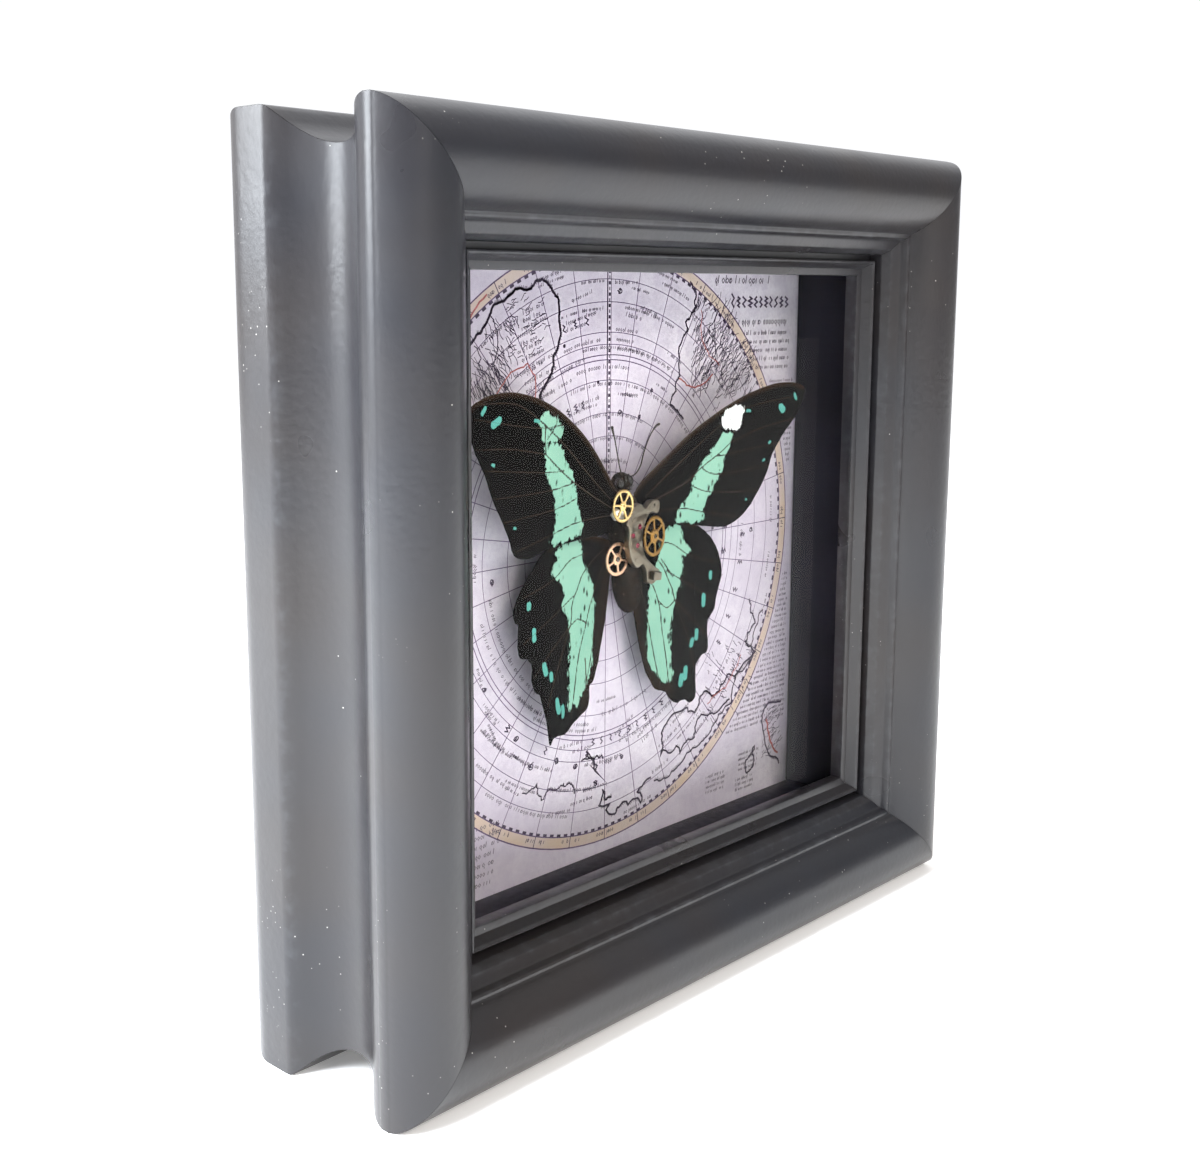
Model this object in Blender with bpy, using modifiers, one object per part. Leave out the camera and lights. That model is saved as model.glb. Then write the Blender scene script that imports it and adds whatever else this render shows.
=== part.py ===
# Framed butterfly specimen: a square moulded shadow box, 150 mm a side and 43 mm deep, with a glass pane,
# black spacers, a chart print and a backing board. A swallowtail with watch parts on its thorax is glued
# to the print. Metres, +Z up. The origin is under the middle of the box, whose front faces -Y.

import math

import bmesh
import bpy
from mathutils import Matrix

MM = 0.001
GAP = 0.3 * MM

# Frame
FRAME_SIDE = 150.0 * MM
FRAME_DEPTH = 43.0 * MM
REBATE_INSET = 15.4 * MM
SIGHT_INSET = 23.2 * MM
LIP_BACK = 14.7 * MM
BEAD_RADIUS = 7.2 * MM
BULLNOSE_RADIUS = 8.6 * MM
COVE_RADIUS = 11.4 * MM
BACK_CORNER_RADIUS = 6.2 * MM

# What lies inside the rebate, as depths behind the front of the frame
GLASS_INSET = 15.7 * MM
GLASS_FRONT = 15.0 * MM
GLASS_THICKNESS = 2.0 * MM
SPACER_THICKNESS = 1.5 * MM
SPACER_FRONT = 17.3 * MM
SPACER_BACK = 30.9 * MM
PRINT_FRONT = 31.2 * MM
PRINT_THICKNESS = 0.3 * MM
BACKING_FRONT = 31.8 * MM
BACKING_THICKNESS = 3.0 * MM
POINT_FRONT = 35.1 * MM
POINT_THICKNESS = 0.6 * MM
POINT_LENGTH = 8.0 * MM
POINT_WIDTH = 7.0 * MM

# Butterfly
WING_THICKNESS = 0.3 * MM
WING_ROOT_X = -1.6 * MM
WING_ROOT_HEIGHT = 78.0 * MM
FOREWING_DEPTH = 27.0 * MM
HINDWING_DEPTH = 27.6 * MM
FOREWING_LIFT = math.radians(6.0)
FOREWING_LEAN = math.radians(6.9)
HINDWING_LIFT = math.radians(3.0)
HINDWING_LEAN = math.radians(-1.4)
BODY_X = -0.5 * MM
BODY_DEPTH = 27.1 * MM
BODY_TILT = math.radians(-5.5)
ANTENNA_RADIUS = 0.12 * MM

# Watch parts
BRIDGE_FRONT = 22.0 * MM
BRIDGE_THICKNESS = 1.4 * MM
FOOT_RISE = 1.2 * MM
JEWEL_RADIUS = 0.45 * MM
WHEEL_THICKNESS = 0.3 * MM


def clear_scene():
    for old in list(bpy.data.objects):
        bpy.data.objects.remove(old, do_unlink=True)


def new_collection(name):
    group = bpy.data.collections.new(name)
    bpy.context.scene.collection.children.link(group)
    return group


def new_material(name, color, roughness, metallic=0.0, transmission=0.0):
    material = bpy.data.materials.new(name)
    material.use_nodes = True
    shader = material.node_tree.nodes["Principled BSDF"]
    shader.inputs["Base Color"].default_value = (*color, 1.0)
    shader.inputs["Roughness"].default_value = roughness
    shader.inputs["Metallic"].default_value = metallic
    shader.inputs["Transmission Weight"].default_value = transmission
    material.diffuse_color = (*color, 1.0)
    return material


def add_object(name, mesh, material, group):
    mesh.name = name
    mesh.materials.clear()
    mesh.materials.append(material)
    thing = bpy.data.objects.new(name, mesh)
    group.objects.link(thing)
    return thing


def shade_smooth(thing):
    for face in thing.data.polygons:
        face.use_smooth = True


def front_y(depth):
    # Depth is counted back from the front of the frame, y from the middle of its depth.
    return depth - FRAME_DEPTH / 2


def arc(center, radius, start, stop, steps):
    # Points on a circle from one angle to another, both ends kept.
    points = []
    for step in range(steps + 1):
        angle = math.radians(start + (stop - start) * step / steps)
        points.append((center[0] + radius * math.cos(angle), center[1] + radius * math.sin(angle)))
    return points


def moulding_profile():
    # Inset from the outer face and depth behind the front, once round the section of the moulding.
    bead = arc((BEAD_RADIUS, BEAD_RADIUS), BEAD_RADIUS, 124, 188, 5)
    bead += arc((BEAD_RADIUS, BEAD_RADIUS), BEAD_RADIUS, 196, 270, 6)
    # The outermost strip of the bead is flat, so the frame can stand on it.
    bead = [(0.0, depth) if inset < 0.3 * MM else (inset, depth) for inset, depth in bead]
    bullnose = arc((BEAD_RADIUS, BULLNOSE_RADIUS), BULLNOSE_RADIUS, 280, 336.7, 5)
    fillets = [(15.9, 5.4), (16.3, 6.7), (18.0, 7.6), (19.0, 9.2)]
    groove = [(19.05, 12.0), (20.3, 12.0), (20.35, 9.8), (20.9, 10.0)]
    lip = [(21.8, 11.9), (23.2, 12.1)]
    steps = [(inset * MM, depth * MM) for inset, depth in fillets + groove + lip]
    rebate = [(SIGHT_INSET, LIP_BACK), (REBATE_INSET, LIP_BACK), (REBATE_INSET, FRAME_DEPTH)]
    corner_middle = (BACK_CORNER_RADIUS, FRAME_DEPTH - BACK_CORNER_RADIUS)
    back_corner = arc(corner_middle, BACK_CORNER_RADIUS, 90, 180, 5)
    cove = arc((-5.8 * MM, 20.2 * MM), COVE_RADIUS, 49, -37, 8)
    shoulder = [(0.0, 31.5 * MM)]
    return bead + bullnose + steps + rebate + back_corner + shoulder + cove


def make_rail(name, turn, material, group):
    # The section runs along the rail and is cut at 45 degrees, with half a gap left at each mitre.
    half = FRAME_SIDE / 2
    clearance = GAP / math.sqrt(2.0)
    shape = bmesh.new()
    ends = []
    for side in (-1, 1):
        loop = []
        for inset, depth in moulding_profile():
            across = side * (half - inset - clearance)
            loop.append(shape.verts.new((across, front_y(depth), inset - half)))
        ends.append(loop)
    count = len(ends[0])
    for index in range(count):
        after = (index + 1) % count
        shape.faces.new((ends[0][index], ends[0][after], ends[1][after], ends[1][index]))
    shape.faces.new(ends[0])
    shape.faces.new(list(reversed(ends[1])))
    bmesh.ops.recalc_face_normals(shape, faces=shape.faces)
    mesh = bpy.data.meshes.new(name)
    shape.to_mesh(mesh)
    shape.free()
    rail = add_object(name, mesh, material, group)
    rail.location = (0.0, 0.0, half)
    rail.rotation_euler = (0.0, turn, 0.0)
    return rail


def make_box(name, left, right, front, back, bottom, top, material, group):
    shape = bmesh.new()
    bmesh.ops.create_cube(shape, size=1.0)
    bmesh.ops.scale(shape, vec=(right - left, back - front, top - bottom), verts=shape.verts)
    mesh = bpy.data.meshes.new(name)
    shape.to_mesh(mesh)
    shape.free()
    box = add_object(name, mesh, material, group)
    box.location = ((left + right) / 2, (front + back) / 2, (bottom + top) / 2)
    return box


def filled_curve_mesh(name, loops, thickness, smooth_outline):
    # A flat plate in the XZ plane whose first loop is the outline and the others are holes.
    curve = bpy.data.curves.new(name, "CURVE")
    curve.dimensions = "2D"
    curve.fill_mode = "BOTH"
    curve.extrude = thickness / 2
    curve.resolution_u = 4
    for loop in loops:
        if smooth_outline:
            spline = curve.splines.new("BEZIER")
            spline.bezier_points.add(len(loop) - 1)
            for knot, point in zip(spline.bezier_points, loop):
                knot.co = (point[0], point[1], 0.0)
                knot.handle_left_type = "AUTO"
                knot.handle_right_type = "AUTO"
        else:
            spline = curve.splines.new("POLY")
            spline.points.add(len(loop) - 1)
            for knot, point in zip(spline.points, loop):
                knot.co = (point[0], point[1], 0.0, 1.0)
        spline.use_cyclic_u = True
    return curve_to_mesh(name, curve, Matrix.Rotation(math.radians(90), 4, "X"))


def curve_to_mesh(name, curve, turn):
    holder = bpy.data.objects.new(name + "_curve", curve)
    bpy.context.scene.collection.objects.link(holder)
    bpy.context.view_layer.update()
    mesh = bpy.data.meshes.new_from_object(holder.evaluated_get(bpy.context.evaluated_depsgraph_get()))
    bpy.data.objects.remove(holder, do_unlink=True)
    shape = bmesh.new()
    shape.from_mesh(mesh)
    bmesh.ops.remove_doubles(shape, verts=shape.verts, dist=0.00001)
    bmesh.ops.transform(shape, matrix=turn, verts=shape.verts)
    bmesh.ops.recalc_face_normals(shape, faces=shape.faces)
    shape.to_mesh(mesh)
    shape.free()
    mesh.name = name
    return mesh


def make_plate(name, loops, thickness, place, material, group, smooth_outline=False):
    mesh = filled_curve_mesh(name, loops, thickness, smooth_outline)
    plate = add_object(name, mesh, material, group)
    plate.matrix_world = place
    return plate


def in_mm(points):
    return [(x * MM, z * MM) for x, z in points]


def wing_place(side, depth, lift, lean, turn):
    # The wing spreads along +X or -X from its root, rises towards the glass and leans about its root.
    place = Matrix.Translation((WING_ROOT_X, front_y(depth), WING_ROOT_HEIGHT))
    place = place @ Matrix.Rotation(-side * lift, 4, "Z")
    place = place @ Matrix.Rotation(lean, 4, "X")
    return place @ Matrix.Rotation(turn, 4, "Y")


def mirrored(points, side):
    return [(side * x, z) for x, z in points]


def make_body(material, group):
    # Radius against height from the middle of the thorax, from the head down to the tip of the abdomen.
    outline = [(0.0, 13.0), (1.0, 12.8), (1.8, 11.8), (2.0, 10.9), (1.7, 9.9), (1.5, 9.3), (2.4, 8.5)]
    outline += [(3.1, 7.0), (3.4, 5.0), (3.4, 2.5), (3.1, 0.0), (2.7, -2.2), (2.6, -3.6), (2.8, -5.5)]
    outline += [(2.85, -8.0), (2.6, -10.5), (2.0, -12.4), (1.1, -13.4), (0.0, -13.7)]
    mesh = bpy.data.meshes.new("body")
    shape = bmesh.new()
    knots = [shape.verts.new((radius * MM, 0.0, height * MM)) for radius, height in outline]
    for upper, lower in zip(knots, knots[1:]):
        shape.edges.new((upper, lower))
    shape.to_mesh(mesh)
    shape.free()
    body = add_object("body", mesh, material, group)
    turned = body.modifiers.new("Turned", "SCREW")
    turned.steps = 24
    turned.render_steps = 24
    turned.use_merge_vertices = True
    turned.merge_threshold = 0.00001
    turned.use_normal_calculate = True
    body.location = (BODY_X, front_y(BODY_DEPTH), WING_ROOT_HEIGHT)
    body.rotation_euler = (0.0, BODY_TILT, 0.0)
    return body


def make_antenna(name, knots, material, group):
    # A thin tube that swells into a club at its tip.
    curve = bpy.data.curves.new(name, "CURVE")
    curve.dimensions = "3D"
    curve.bevel_depth = ANTENNA_RADIUS
    curve.bevel_resolution = 1
    curve.resolution_u = 3
    curve.use_fill_caps = True
    spline = curve.splines.new("BEZIER")
    spline.bezier_points.add(len(knots) - 1)
    for knot, (x, depth, height) in zip(spline.bezier_points, knots):
        knot.co = (x * MM, front_y(depth * MM), height * MM)
        knot.handle_left_type = "AUTO"
        knot.handle_right_type = "AUTO"
    spline.bezier_points[-1].radius = 2.0
    mesh = curve_to_mesh(name, curve, Matrix.Identity(4))
    antenna = add_object(name, mesh, material, group)
    shade_smooth(antenna)
    return antenna


def circle(middle, radius, steps):
    return arc(middle, radius, 0, 360, steps)[:-1]


def wheel_loops(radius, rim, hub, hole, spokes, spoke_width, phase):
    # Rim, hub and spokes of a watch wheel: an outline with one window between each pair of spokes.
    loops = [circle((0.0, 0.0), radius, 48), circle((0.0, 0.0), hole, 16)]
    inner = radius - rim
    for spoke in range(spokes):
        start = phase + 360.0 / spokes * spoke
        stop = start + 360.0 / spokes
        edge_out = math.degrees(math.asin(spoke_width / 2 / inner))
        edge_in = math.degrees(math.asin(spoke_width / 2 / hub))
        window = arc((0.0, 0.0), inner, start + edge_out, stop - edge_out, 6)
        window += arc((0.0, 0.0), hub, stop - edge_in, start + edge_in, 3)
        loops.append(window)
    return loops


def make_wheel(name, loops, x, depth, height, swing, material, group):
    place = Matrix.Translation((x * MM, front_y(depth * MM), height * MM)) @ Matrix.Rotation(swing, 4, "Z")
    return make_plate(name, loops, WHEEL_THICKNESS, place, material, group)


def make_pin(name, x, depth, height, radius, length, swing, material, group):
    # A short round pin whose length lies along the depth of the box.
    shape = bmesh.new()
    bmesh.ops.create_cone(shape, cap_ends=True, segments=16, radius1=radius, radius2=radius, depth=length)
    bmesh.ops.rotate(shape, cent=(0, 0, 0), matrix=Matrix.Rotation(math.radians(90), 3, "X"), verts=shape.verts)
    mesh = bpy.data.meshes.new(name)
    shape.to_mesh(mesh)
    shape.free()
    pin = add_object(name, mesh, material, group)
    pin.location = (x * MM, front_y(depth * MM), height * MM)
    pin.rotation_euler = (0.0, 0.0, swing)
    return pin


def make_bridge(jewels, material, group, cutters):
    # A crescent plate with a tab at each end; the lower tab carries a raised foot.
    outline = [(1.3, 85.8), (3.4, 85.6), (3.4, 84.3), (2.8, 83.4), (1.5, 83.8), (0.3, 83.3), (-0.3, 82.2)]
    outline += [(-1.0, 80.6), (-1.2, 78.7), (-0.9, 77.0), (-0.3, 75.8), (0.8, 74.7), (2.5, 73.4), (3.8, 72.6)]
    outline += [(3.3, 71.2), (1.8, 70.3), (0.4, 70.9), (0.1, 72.8), (-0.6, 74.0), (-1.7, 74.0), (-2.6, 73.9)]
    outline += [(-3.8, 75.1), (-4.5, 76.7), (-4.8, 78.6), (-4.7, 80.6), (-5.5, 82.2), (-4.7, 83.7), (-3.2, 85.2)]
    outline += [(-2.1, 85.6), (-1.3, 85.3), (-0.4, 84.5), (0.5, 85.2)]
    loops = [in_mm(outline)]
    for x, height in jewels:
        loops.append(circle((x * MM, height * MM), JEWEL_RADIUS + GAP, 16))
    loops.append(circle((2.1 * MM, 85.0 * MM), 0.25 * MM, 12))
    place = Matrix.Translation((0.0, front_y(BRIDGE_FRONT + BRIDGE_THICKNESS / 2), 0.0))
    bridge = make_plate("bridge_plate", loops, BRIDGE_THICKNESS, place, material, group)
    foot_front = front_y(BRIDGE_FRONT - FOOT_RISE)
    foot_back = front_y(BRIDGE_FRONT + BRIDGE_THICKNESS / 2)
    foot = make_box("foot_block", 0.9 * MM, 3.0 * MM, foot_front, foot_back, 71.1 * MM, 72.7 * MM, material, cutters)
    foot.hide_render = True
    foot.display_type = "WIRE"
    join = bridge.modifiers.new("Foot", "BOOLEAN")
    join.operation = "UNION"
    join.solver = "EXACT"
    join.object = foot
    return bridge


def build_frame(group):
    paint = new_material("charcoal_paint", (0.12, 0.115, 0.11), 0.38)
    glass = new_material("clear_glass", (0.95, 0.97, 0.96), 0.02, transmission=1.0)
    black_board = new_material("black_board", (0.02, 0.018, 0.025), 0.5)
    paper = new_material("print_paper", (0.68, 0.62, 0.68), 0.7)
    board = new_material("grey_board", (0.36, 0.31, 0.25), 0.85)
    steel = new_material("point_steel", (0.5, 0.5, 0.5), 0.4, 1.0)
    for index, name in enumerate(("bottom_rail", "left_stile", "top_rail", "right_stile")):
        make_rail(name, index * math.radians(90), paint, group)

    low = GLASS_INSET
    high = FRAME_SIDE - GLASS_INSET
    half = FRAME_SIDE / 2 - GLASS_INSET
    glass_back = GLASS_FRONT + GLASS_THICKNESS
    print_back = PRINT_FRONT + PRINT_THICKNESS
    backing_back = BACKING_FRONT + BACKING_THICKNESS
    make_box("glass_pane", -half, half, front_y(GLASS_FRONT), front_y(glass_back), low, high, glass, group)
    make_box("map_print", -half, half, front_y(PRINT_FRONT), front_y(print_back), low, high, paper, group)
    make_box("backing_board", -half, half, front_y(BACKING_FRONT), front_y(backing_back), low, high, board, group)

    # The top and bottom strips run full width and the side strips stand between them.
    front = front_y(SPACER_FRONT)
    back = front_y(SPACER_BACK)
    wall = SPACER_THICKNESS
    make_box("bottom_spacer", -half, half, front, back, low, low + wall, black_board, group)
    make_box("top_spacer", -half, half, front, back, high - wall, high, black_board, group)
    inner_low = low + wall + GAP
    inner_high = high - wall - GAP
    make_box("left_spacer", -half, -half + wall, front, back, inner_low, inner_high, black_board, group)
    make_box("right_spacer", half - wall, half, front, back, inner_low, inner_high, black_board, group)

    # One flat pointed tab in the middle of each side, with its base against the rebate.
    for index, name in enumerate(("bottom_point", "left_point", "top_point", "right_point")):
        base = GLASS_INSET - FRAME_SIDE / 2
        tip = (0.0, base + POINT_LENGTH)
        kite = [(-POINT_WIDTH / 2, base), (POINT_WIDTH / 2, base), tip]
        middle = front_y(POINT_FRONT + POINT_THICKNESS / 2)
        place = Matrix.Translation((0.0, middle, FRAME_SIDE / 2)) @ Matrix.Rotation(index * math.radians(90), 4, "Y")
        make_plate(name, [kite], POINT_THICKNESS, place, steel, group)


def build_butterfly(group):
    wing = new_material("black_wing", (0.02, 0.018, 0.016), 0.7)
    hair = new_material("dark_body", (0.045, 0.03, 0.02), 0.8)
    # Outlines run from the root along the front edge to the tip and back along the rear edge.
    forewing = [(5.2, 10.8), (10.8, 17.0), (17.4, 22.2), (25.5, 26.6), (34.0, 28.9), (41.0, 29.0), (45.6, 27.0)]
    forewing += [(45.2, 23.5), (41.0, 16.8), (37.3, 10.2), (33.2, 3.6), (29.6, 1.0), (22.0, 1.4), (12.5, 2.5)]
    forewing += [(5.3, 4.2)]
    left_hindwing = [(6.5, 0.8), (13.0, 1.0), (19.6, 1.0), (25.2, -3.0), (28.9, -9.0), (28.0, -14.5), (25.0, -18.2)]
    left_hindwing += [(24.4, -22.6), (21.4, -25.2), (20.9, -30.0), (20.2, -33.4), (16.0, -32.7), (11.0, -30.2)]
    left_hindwing += [(9.0, -26.0), (6.0, -19.0), (4.4, -11.0), (4.6, -3.5)]
    right_hindwing = [(6.5, 0.8), (14.0, 1.6), (21.1, 0.9), (26.0, -3.0), (28.2, -8.8), (26.6, -15.0), (24.2, -19.5)]
    right_hindwing += [(23.4, -24.6), (21.0, -26.8), (20.4, -32.6), (17.0, -33.4), (12.2, -31.2), (8.4, -28.0)]
    right_hindwing += [(5.9, -20.0), (5.3, -11.0), (5.3, -3.5)]

    left_turn = math.radians(0.0)
    right_turn = math.radians(2.0)
    place = wing_place(-1, FOREWING_DEPTH, FOREWING_LIFT, FOREWING_LEAN, left_turn)
    make_plate("left_forewing", [in_mm(mirrored(forewing, -1))], WING_THICKNESS, place, wing, group, True)
    place = wing_place(1, FOREWING_DEPTH, FOREWING_LIFT, FOREWING_LEAN, right_turn)
    make_plate("right_forewing", [in_mm(forewing)], WING_THICKNESS, place, wing, group, True)
    place = wing_place(-1, HINDWING_DEPTH, HINDWING_LIFT, HINDWING_LEAN, left_turn)
    make_plate("left_hindwing", [in_mm(mirrored(left_hindwing, -1))], WING_THICKNESS, place, wing, group, True)
    place = wing_place(1, HINDWING_DEPTH, HINDWING_LIFT, HINDWING_LEAN, left_turn)
    make_plate("right_hindwing", [in_mm(right_hindwing)], WING_THICKNESS, place, wing, group, True)

    make_body(hair, group)
    left_knots = [(-2.6, 26.4, 91.3), (-4.3, 25.6, 94.5), (-7.5, 24.0, 99.7)]
    right_knots = [(0.4, 26.4, 90.6), (2.5, 26.0, 91.6), (3.9, 26.0, 94.8), (7.7, 26.0, 99.2)]
    make_antenna("left_antenna", left_knots, hair, group)
    make_antenna("right_antenna", right_knots, hair, group)


def build_watch_parts(group, cutters):
    nickel = new_material("grey_nickel", (0.42, 0.40, 0.36), 0.35, 1.0)
    pale_gold = new_material("pale_gold", (0.85, 0.62, 0.30), 0.25, 1.0)
    bronze = new_material("bronze_gold", (0.60, 0.36, 0.10), 0.3, 1.0)
    copper = new_material("copper", (0.80, 0.48, 0.28), 0.3, 1.0)
    dark_steel = new_material("dark_steel", (0.10, 0.09, 0.08), 0.35, 1.0)
    silver = new_material("silver_plate", (0.72, 0.72, 0.70), 0.3, 1.0)
    ruby = new_material("ruby", (0.45, 0.03, 0.08), 0.1)

    jewels = [(-1.9, 81.4), (-3.7, 79.9), (-2.4, 78.0)]
    make_bridge(jewels, nickel, group, cutters)
    for name, (x, height) in zip(("upper_jewel", "middle_jewel", "lower_jewel"), jewels):
        make_pin(name, x, 22.6, height, JEWEL_RADIUS, 1.0 * MM, 0.0, ruby, group)

    loops = wheel_loops(3.0 * MM, 0.42 * MM, 0.85 * MM, 0.2 * MM, 6, 0.36 * MM, -7)
    make_wheel("top_wheel", loops, -7.2, 21.5, 85.8, math.radians(3), pale_gold, group)
    loops = wheel_loops(3.75 * MM, 0.45 * MM, 1.35 * MM, 0.75 * MM, 6, 0.36 * MM, 36)
    make_wheel("large_wheel", loops, 0.8, 20.9, 79.5, math.radians(10), bronze, group)
    loops = wheel_loops(3.1 * MM, 0.48 * MM, 1.15 * MM, 0.8 * MM, 5, 0.38 * MM, -13)
    make_wheel("lower_wheel", loops, -6.0, 23.9, 75.7, 0.0, copper, group)
    make_pin("large_wheel_arbor", 0.8, 21.6, 79.5, 0.42 * MM, 2.0 * MM, math.radians(10), dark_steel, group)
    make_pin("lower_wheel_arbor", -6.0, 24.1, 75.7, 0.48 * MM, 1.4 * MM, 0.0, dark_steel, group)

    tilted_square = [(-9.6, 84.4), (-8.1, 85.4), (-6.2, 84.6), (-6.3, 83.3), (-8.6, 83.2)]
    place = Matrix.Translation((0.0, front_y(22.3 * MM), 0.0))
    make_plate("small_plate", [in_mm(tilted_square)], 0.4 * MM, place, silver, group)


def main():
    clear_scene()
    group = new_collection("framed_butterfly_specimen")
    cutters = new_collection("cutters")
    build_frame(group)
    build_butterfly(group)
    build_watch_parts(group, cutters)


main()
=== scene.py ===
import math
import random

import bmesh
import bpy
import numpy as np
from mathutils import Matrix, Vector


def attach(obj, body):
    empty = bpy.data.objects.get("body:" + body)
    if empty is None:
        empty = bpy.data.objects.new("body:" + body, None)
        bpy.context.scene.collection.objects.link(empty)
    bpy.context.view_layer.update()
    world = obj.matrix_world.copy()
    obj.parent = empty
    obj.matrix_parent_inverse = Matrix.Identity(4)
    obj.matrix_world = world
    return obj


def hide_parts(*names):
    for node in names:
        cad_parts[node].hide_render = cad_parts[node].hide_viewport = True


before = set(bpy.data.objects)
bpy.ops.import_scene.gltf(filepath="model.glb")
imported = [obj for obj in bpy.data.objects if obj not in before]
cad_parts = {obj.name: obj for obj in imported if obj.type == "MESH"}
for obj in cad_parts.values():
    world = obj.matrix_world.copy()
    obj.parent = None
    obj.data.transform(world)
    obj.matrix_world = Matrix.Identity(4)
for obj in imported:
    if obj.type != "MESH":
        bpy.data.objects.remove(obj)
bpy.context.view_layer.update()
mm = 0.001
halfSide = 75.0          # half of the frame's outer side, in mm
boxDepth = 43.0
mapCenter = (-1.0, 76.0)  # middle of the printed circle
rng = random.Random(17)


# shared helpers

def yAt(depth):
    # depth is counted back from the front of the frame, in mm
    return (depth - boxDepth / 2) * mm


def place(x, depth, z):
    return Vector((x * mm, yAt(depth), z * mm))


def finishPiece(name, mesh, material, cadNodes=(), smooth=True):
    piece = bpy.data.objects.new(name, mesh)
    bpy.context.scene.collection.objects.link(piece)
    if material is not None:
        mesh.materials.clear()
        mesh.materials.append(material)
    for face in mesh.polygons:
        face.use_smooth = smooth
    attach(piece, "root")
    if cadNodes:
        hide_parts(*cadNodes)
    return piece


def meshFrom(name, shape, tidy=0.000002, sharpAngle=None):
    if tidy:
        bmesh.ops.remove_doubles(shape, verts=shape.verts, dist=tidy)
    bmesh.ops.recalc_face_normals(shape, faces=shape.faces)
    if sharpAngle is not None:
        for edge in shape.edges:
            if len(edge.link_faces) == 2 and edge.calc_face_angle(0.0) > math.radians(sharpAngle):
                edge.smooth = False
    mesh = bpy.data.meshes.new(name)
    shape.to_mesh(mesh)
    shape.free()
    return mesh


def arcPoints(cx, cy, radius, start, stop, steps):
    points = []
    for step in range(steps + 1):
        angle = math.radians(start + (stop - start) * step / steps)
        points.append((cx + radius * math.cos(angle), cy + radius * math.sin(angle)))
    return points


def newMaterial(name):
    material = bpy.data.materials.new(name)
    material.use_nodes = True
    return material, material.node_tree, material.node_tree.nodes["Principled BSDF"]


def addNode(tree, kind, inputs=None, **settings):
    node = tree.nodes.new("ShaderNode" + kind)
    for key, value in settings.items():
        setattr(node, key, value)
    for key, value in (inputs or {}).items():
        socket = node.inputs[key]
        if isinstance(value, bpy.types.NodeSocket):
            tree.links.new(value, socket)
        else:
            socket.default_value = value
    return node


def objectCoords(tree):
    return addNode(tree, "TexCoord").outputs["Object"]


def noise(tree, vector, scale, detail=3.0, roughness=0.55):
    node = addNode(tree, "TexNoise", {"Vector": vector, "Scale": scale, "Detail": detail,
            "Roughness": roughness})
    return node.outputs["Fac"]


def ramp(tree, value, low, high, outLow=0.0, outHigh=1.0):
    node = addNode(tree, "MapRange", {"Value": value, "From Min": low, "From Max": high,
                                      "To Min": outLow, "To Max": outHigh})
    return node.outputs["Result"]


def calc(tree, operation, a, b=0.0):
    return addNode(tree, "Math", {0: a, 1: b}, operation=operation).outputs[0]


def mixColor(tree, factor, a, b, blend="MIX"):
    node = addNode(tree, "Mix", data_type="RGBA", blend_type=blend)
    for index, value in ((0, factor), (6, a), (7, b)):
        socket = node.inputs[index]
        if isinstance(value, bpy.types.NodeSocket):
            tree.links.new(value, socket)
        else:
            socket.default_value = value if index == 0 else (*value, 1.0)
    return node.outputs[2]


def bump(tree, shader, height, strength, distance):
    node = addNode(tree, "Bump", {"Height": height, "Strength": strength, "Distance": distance})
    tree.links.new(node.outputs["Normal"], shader.inputs["Normal"])


def attribute(tree, name):
    return addNode(tree, "Attribute", attribute_name=name).outputs["Fac"]


def specks(tree, vector, scale, size, share):
    # small round dots, one in some of the cells
    cells = addNode(tree, "TexVoronoi", {"Vector": vector, "Scale": scale})
    near = ramp(tree, cells.outputs["Distance"], size, size * 0.5)
    chosen = calc(tree, "LESS_THAN", addNode(tree, "SeparateColor",
            {"Color": cells.outputs["Color"]}).outputs[0], share)
    return calc(tree, "MULTIPLY", near, chosen)


# camera, floor and light

camera = {"azimuth": 0.8274, "dip": -0.1623, "roll": 0.0059, "focal": 1520.2, "imageWidth": 1200,
          "centerRise": 50, "position": (-0.8841, -1.0504, 0.8287), "unit": 0.150}


def buildCamera(c):
    forward = Vector((math.sin(c["azimuth"]) * math.cos(c["dip"]),
            math.cos(c["azimuth"]) * math.cos(c["dip"]), math.sin(c["dip"])))
    right = Vector((math.cos(c["azimuth"]), -math.sin(c["azimuth"]), 0.0))
    up = right.cross(forward)
    axisX = math.cos(c["roll"]) * right + math.sin(c["roll"]) * up
    axisY = -math.sin(c["roll"]) * right + math.cos(c["roll"]) * up
    lens = bpy.data.cameras.new("camera")
    lens.sensor_width = 36.0
    lens.lens = 36.0 * c["focal"] / c["imageWidth"]
    lens.shift_y = -c["centerRise"] / c["imageWidth"]
    lens.clip_start = 0.01
    lens.clip_end = 20.0
    holder = bpy.data.objects.new("camera", lens)
    bpy.context.scene.collection.objects.link(holder)
    turn = Matrix((axisX, axisY, -forward)).transposed().to_4x4()
    x, y, z = (value * c["unit"] for value in c["position"])
    holder.matrix_world = Matrix.Translation((x - 0.075, y - 0.0215, z)) @ turn
    bpy.context.scene.camera = holder


studio = {"floorTone": (0.93, 0.93, 0.93), "worldTone": (0.97, 0.98, 1.0),
          "floorGlow": 0.2, "roomLevel": 0.24, "backdropLevel": 1.05, "overheadLevel": 0.45,
          "lamps": (("keyLamp", (-0.70, 0.04, 0.66), 0.42, 25.0, (0.92, 0.96, 1.0)),
                    ("frontLamp", (-0.15, -1.0, 0.75), 0.45, 10.5, (1.0, 0.93, 0.86)),
                    ("edgeLamp", (-0.65, 0.55, 0.34), 0.40, 8.0, (0.90, 0.95, 1.0)))}


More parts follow.
